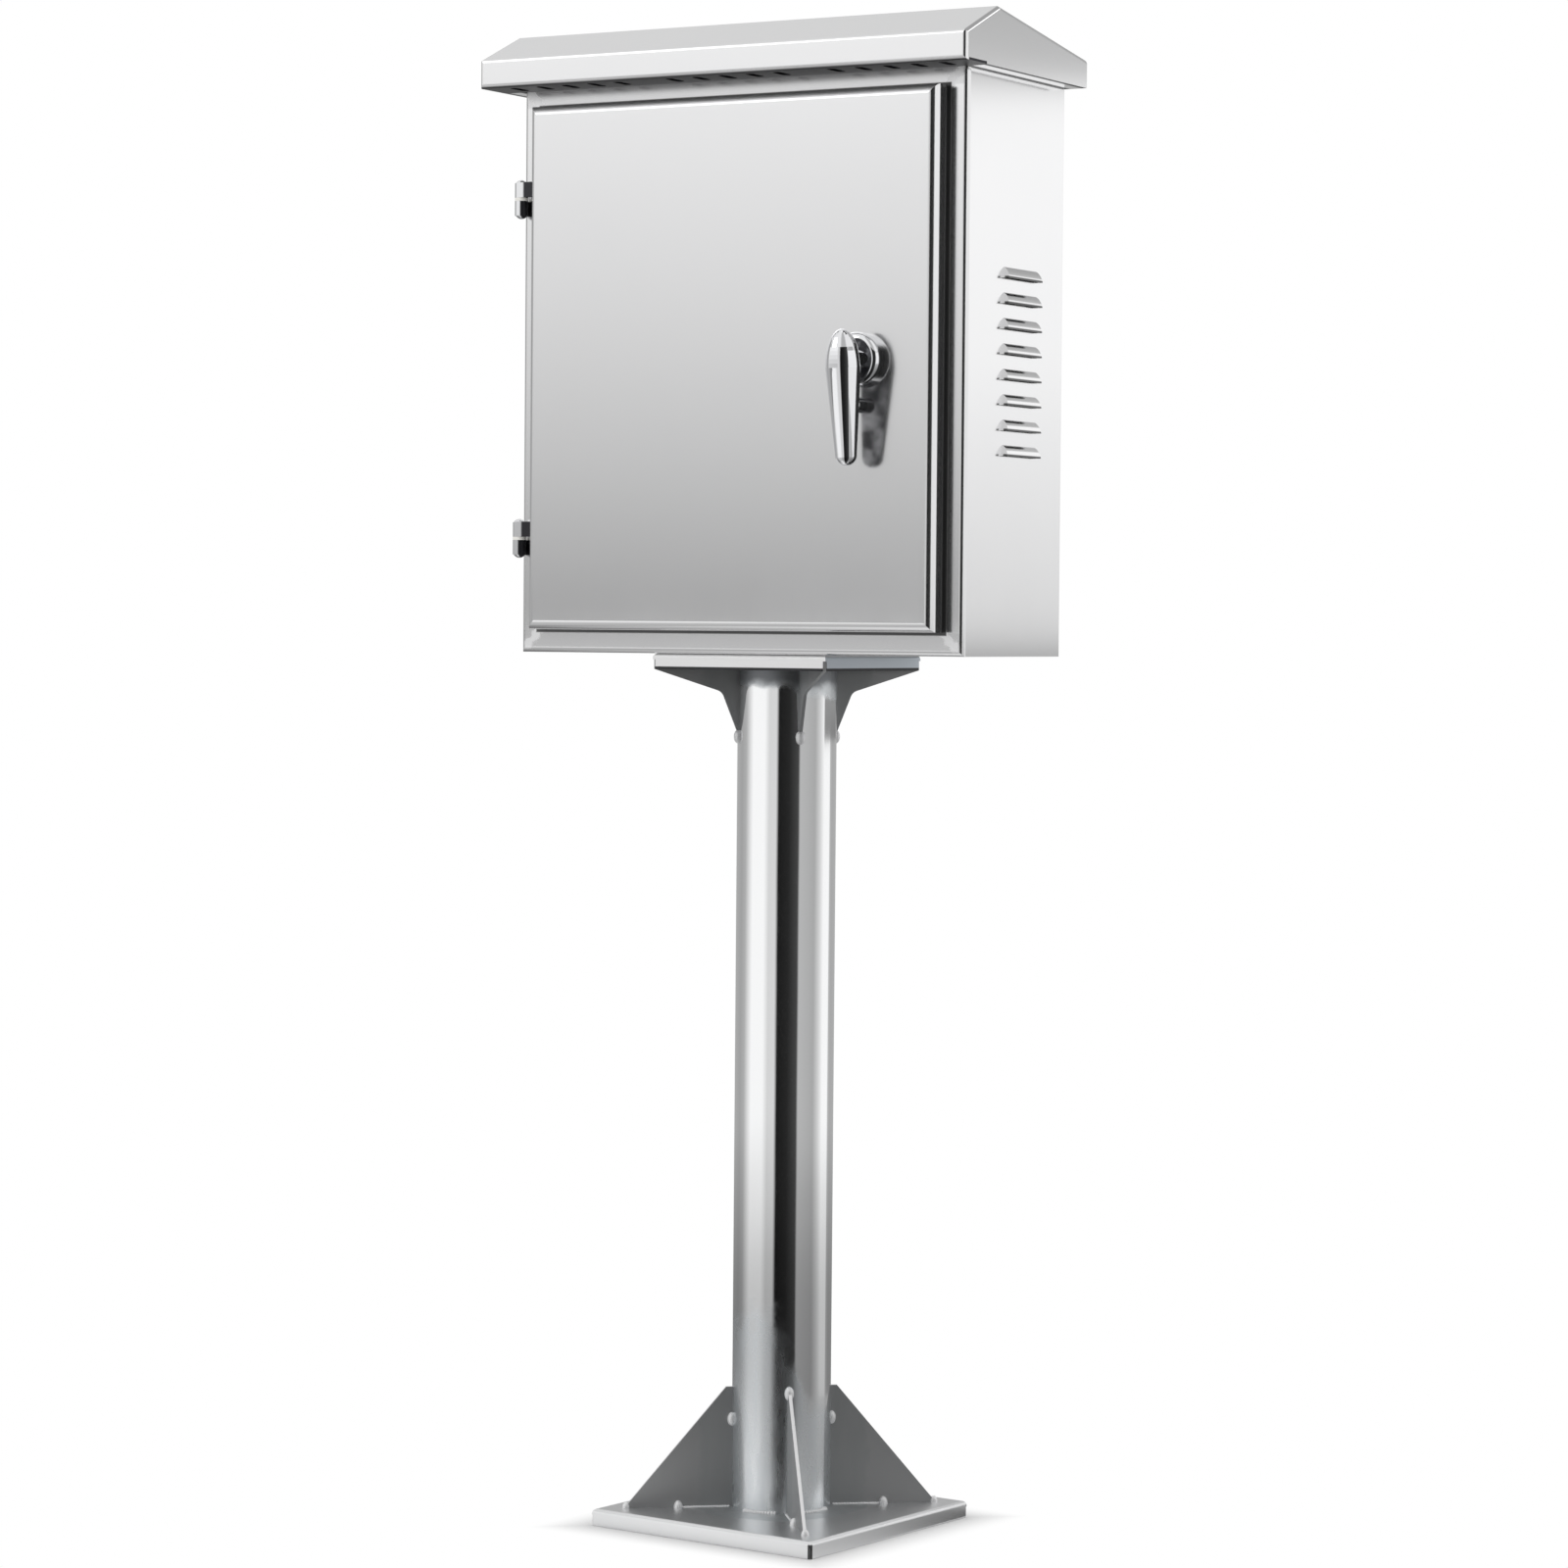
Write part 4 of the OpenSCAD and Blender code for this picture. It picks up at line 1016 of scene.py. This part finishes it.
# %% Model a drop
DROP_SIDES, DROP_RINGS, DROP_TALL = 14, 10, 1.5


def drop_at(bm, centre, size):
    """Adds one single drop, longer than wide, from its lowest ring up."""
    turns = [2 * pi * k / DROP_SIDES for k in range(DROP_SIDES)]
    rings = []
    for j in range(1, DROP_RINGS):
        tilt = pi * j / DROP_RINGS
        middle, girth = centre - UP * cos(tilt) * size * DROP_TALL, sin(tilt) * size
        rings.append([bm.verts.new(middle + Vector((-sin(t), cos(t), 0)) * girth) for t in turns])
    join(bm, rings)
    for pole, ring in ((-1, rings[0]), (1, rings[-1][::-1])):
        tip = bm.verts.new(centre + UP * pole * size * DROP_TALL)
        for one, other in zip(ring, ring[1:] + ring[:1]):
            bm.faces.new((tip, other, one))


def weld_piece(name, bm):
    """Makes a smooth object of weld metal that stays with the stand."""
    mesh = bpy.data.meshes.new(name)
    bmesh.ops.recalc_face_normals(bm, faces=bm.faces)
    bm.to_mesh(mesh)
    bm.free()
    for face in mesh.polygons:
        face.use_smooth = True
    mesh.materials.append(weld_metal)
    obj = bpy.data.objects.new(name, mesh)
    scene.collection.objects.link(obj)
    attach(obj, "stand")
    print(name, "faces:", len(mesh.polygons))


print("faces in a drop:", DROP_SIDES * DROP_RINGS)

# %% [markdown]
# At the foot each gusset has a fine seam bead on both sides, which ends in a drop halfway out, and
# one more drop at its toe. The near and the far gusset are welded to the tube at their tips, the
# other two at mid height on both sides. Round the tube's end runs no full bead, only four pieces.

# %% Weld the foot
HALF_PLATE, BEAD_OUT = 0.0015, 0.0006
SEAM_BEAD, TUBE_BEAD, DROP, TOE_DROP = 0.0012, 0.0024, 0.0042, 0.0036
TUBE_BEAD_LONG, TUBE_BEAD_ANGLES, TUBE_BEAD_LIFT = 0.034, (-86, -17, 92, 176), 0.0004
GUSSET_ANGLES, TIP_WELDED = (-45, 45, 135, 225), (-45, 135)
TOE_RADIUS, SEAM_END, MID_WELD = 0.1405, 0.0935, 0.094
TIP_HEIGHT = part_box("base_gusset_near")[1].z
SEAM_START, TIP_OUT, MID_OUT = POLE_RADIUS + 0.002, POLE_RADIUS + 0.001, POLE_RADIUS + 0.0008


def outward(angle):
    """The level direction at an angle round the pole."""
    return Vector((cos(radians(angle)), sin(radians(angle)), 0))


def tube_bead(bm, angle, height):
    """Adds a short bead where the tube's end meets a sheet."""
    radius = POLE_RADIUS + BEAD_OUT
    steps = round(TUBE_BEAD_LONG / DROP_PITCH * RINGS_PER_DROP)
    swept = TUBE_BEAD_LONG / radius
    turns = [radians(angle) + swept * (i / steps - 0.5) for i in range(steps + 1)]
    points = [Vector((radius * cos(t), radius * sin(t), height)) for t in turns]
    bead(bm, points, TUBE_BEAD)


bm = bmesh.new()
for angle in GUSSET_ANGLES:
    out = outward(angle + FOOT_TURN)
    across = Vector((-out.y, out.x, 0))
    drop_at(bm, out * TOE_RADIUS + UP * PAN_TOP, TOE_DROP)
    if angle in TIP_WELDED:
        drop_at(bm, out * TIP_OUT + UP * TIP_HEIGHT, DROP)
    for side in (-1, 1):
        corner = across * side * (HALF_PLATE + BEAD_OUT)
        seam_end = out * SEAM_END + corner + UP * PAN_TOP
        bead(bm, straight(out * SEAM_START + corner + UP * PAN_TOP, seam_end), SEAM_BEAD)
        drop_at(bm, seam_end, DROP)
        if angle not in TIP_WELDED:
            drop_at(bm, out * MID_OUT + corner + UP * MID_WELD, DROP)
for angle in TUBE_BEAD_ANGLES:
    tube_bead(bm, angle, PAN_TOP + TUBE_BEAD_LIFT)
weld_piece("foot_welds", bm)

# %% [markdown]
# At the head the gussets are smaller. Each ends in one drop on the tube, and the tube's upper end
# has the same four pieces of bead under the sheet, so the helpers of the foot do this work too.

# %% Weld the head
GUSSET_FOOT, SHEET_UNDER = (c.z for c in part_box("top_gusset_near"))

bm = bmesh.new()
for angle in GUSSET_ANGLES:
    drop_at(bm, outward(angle) * (POLE_RADIUS + BEAD_OUT) + UP * GUSSET_FOOT, DROP)
for angle in TUBE_BEAD_ANGLES:
    tube_bead(bm, angle, SHEET_UNDER - TUBE_BEAD_LIFT)
weld_piece("head_welds", bm)
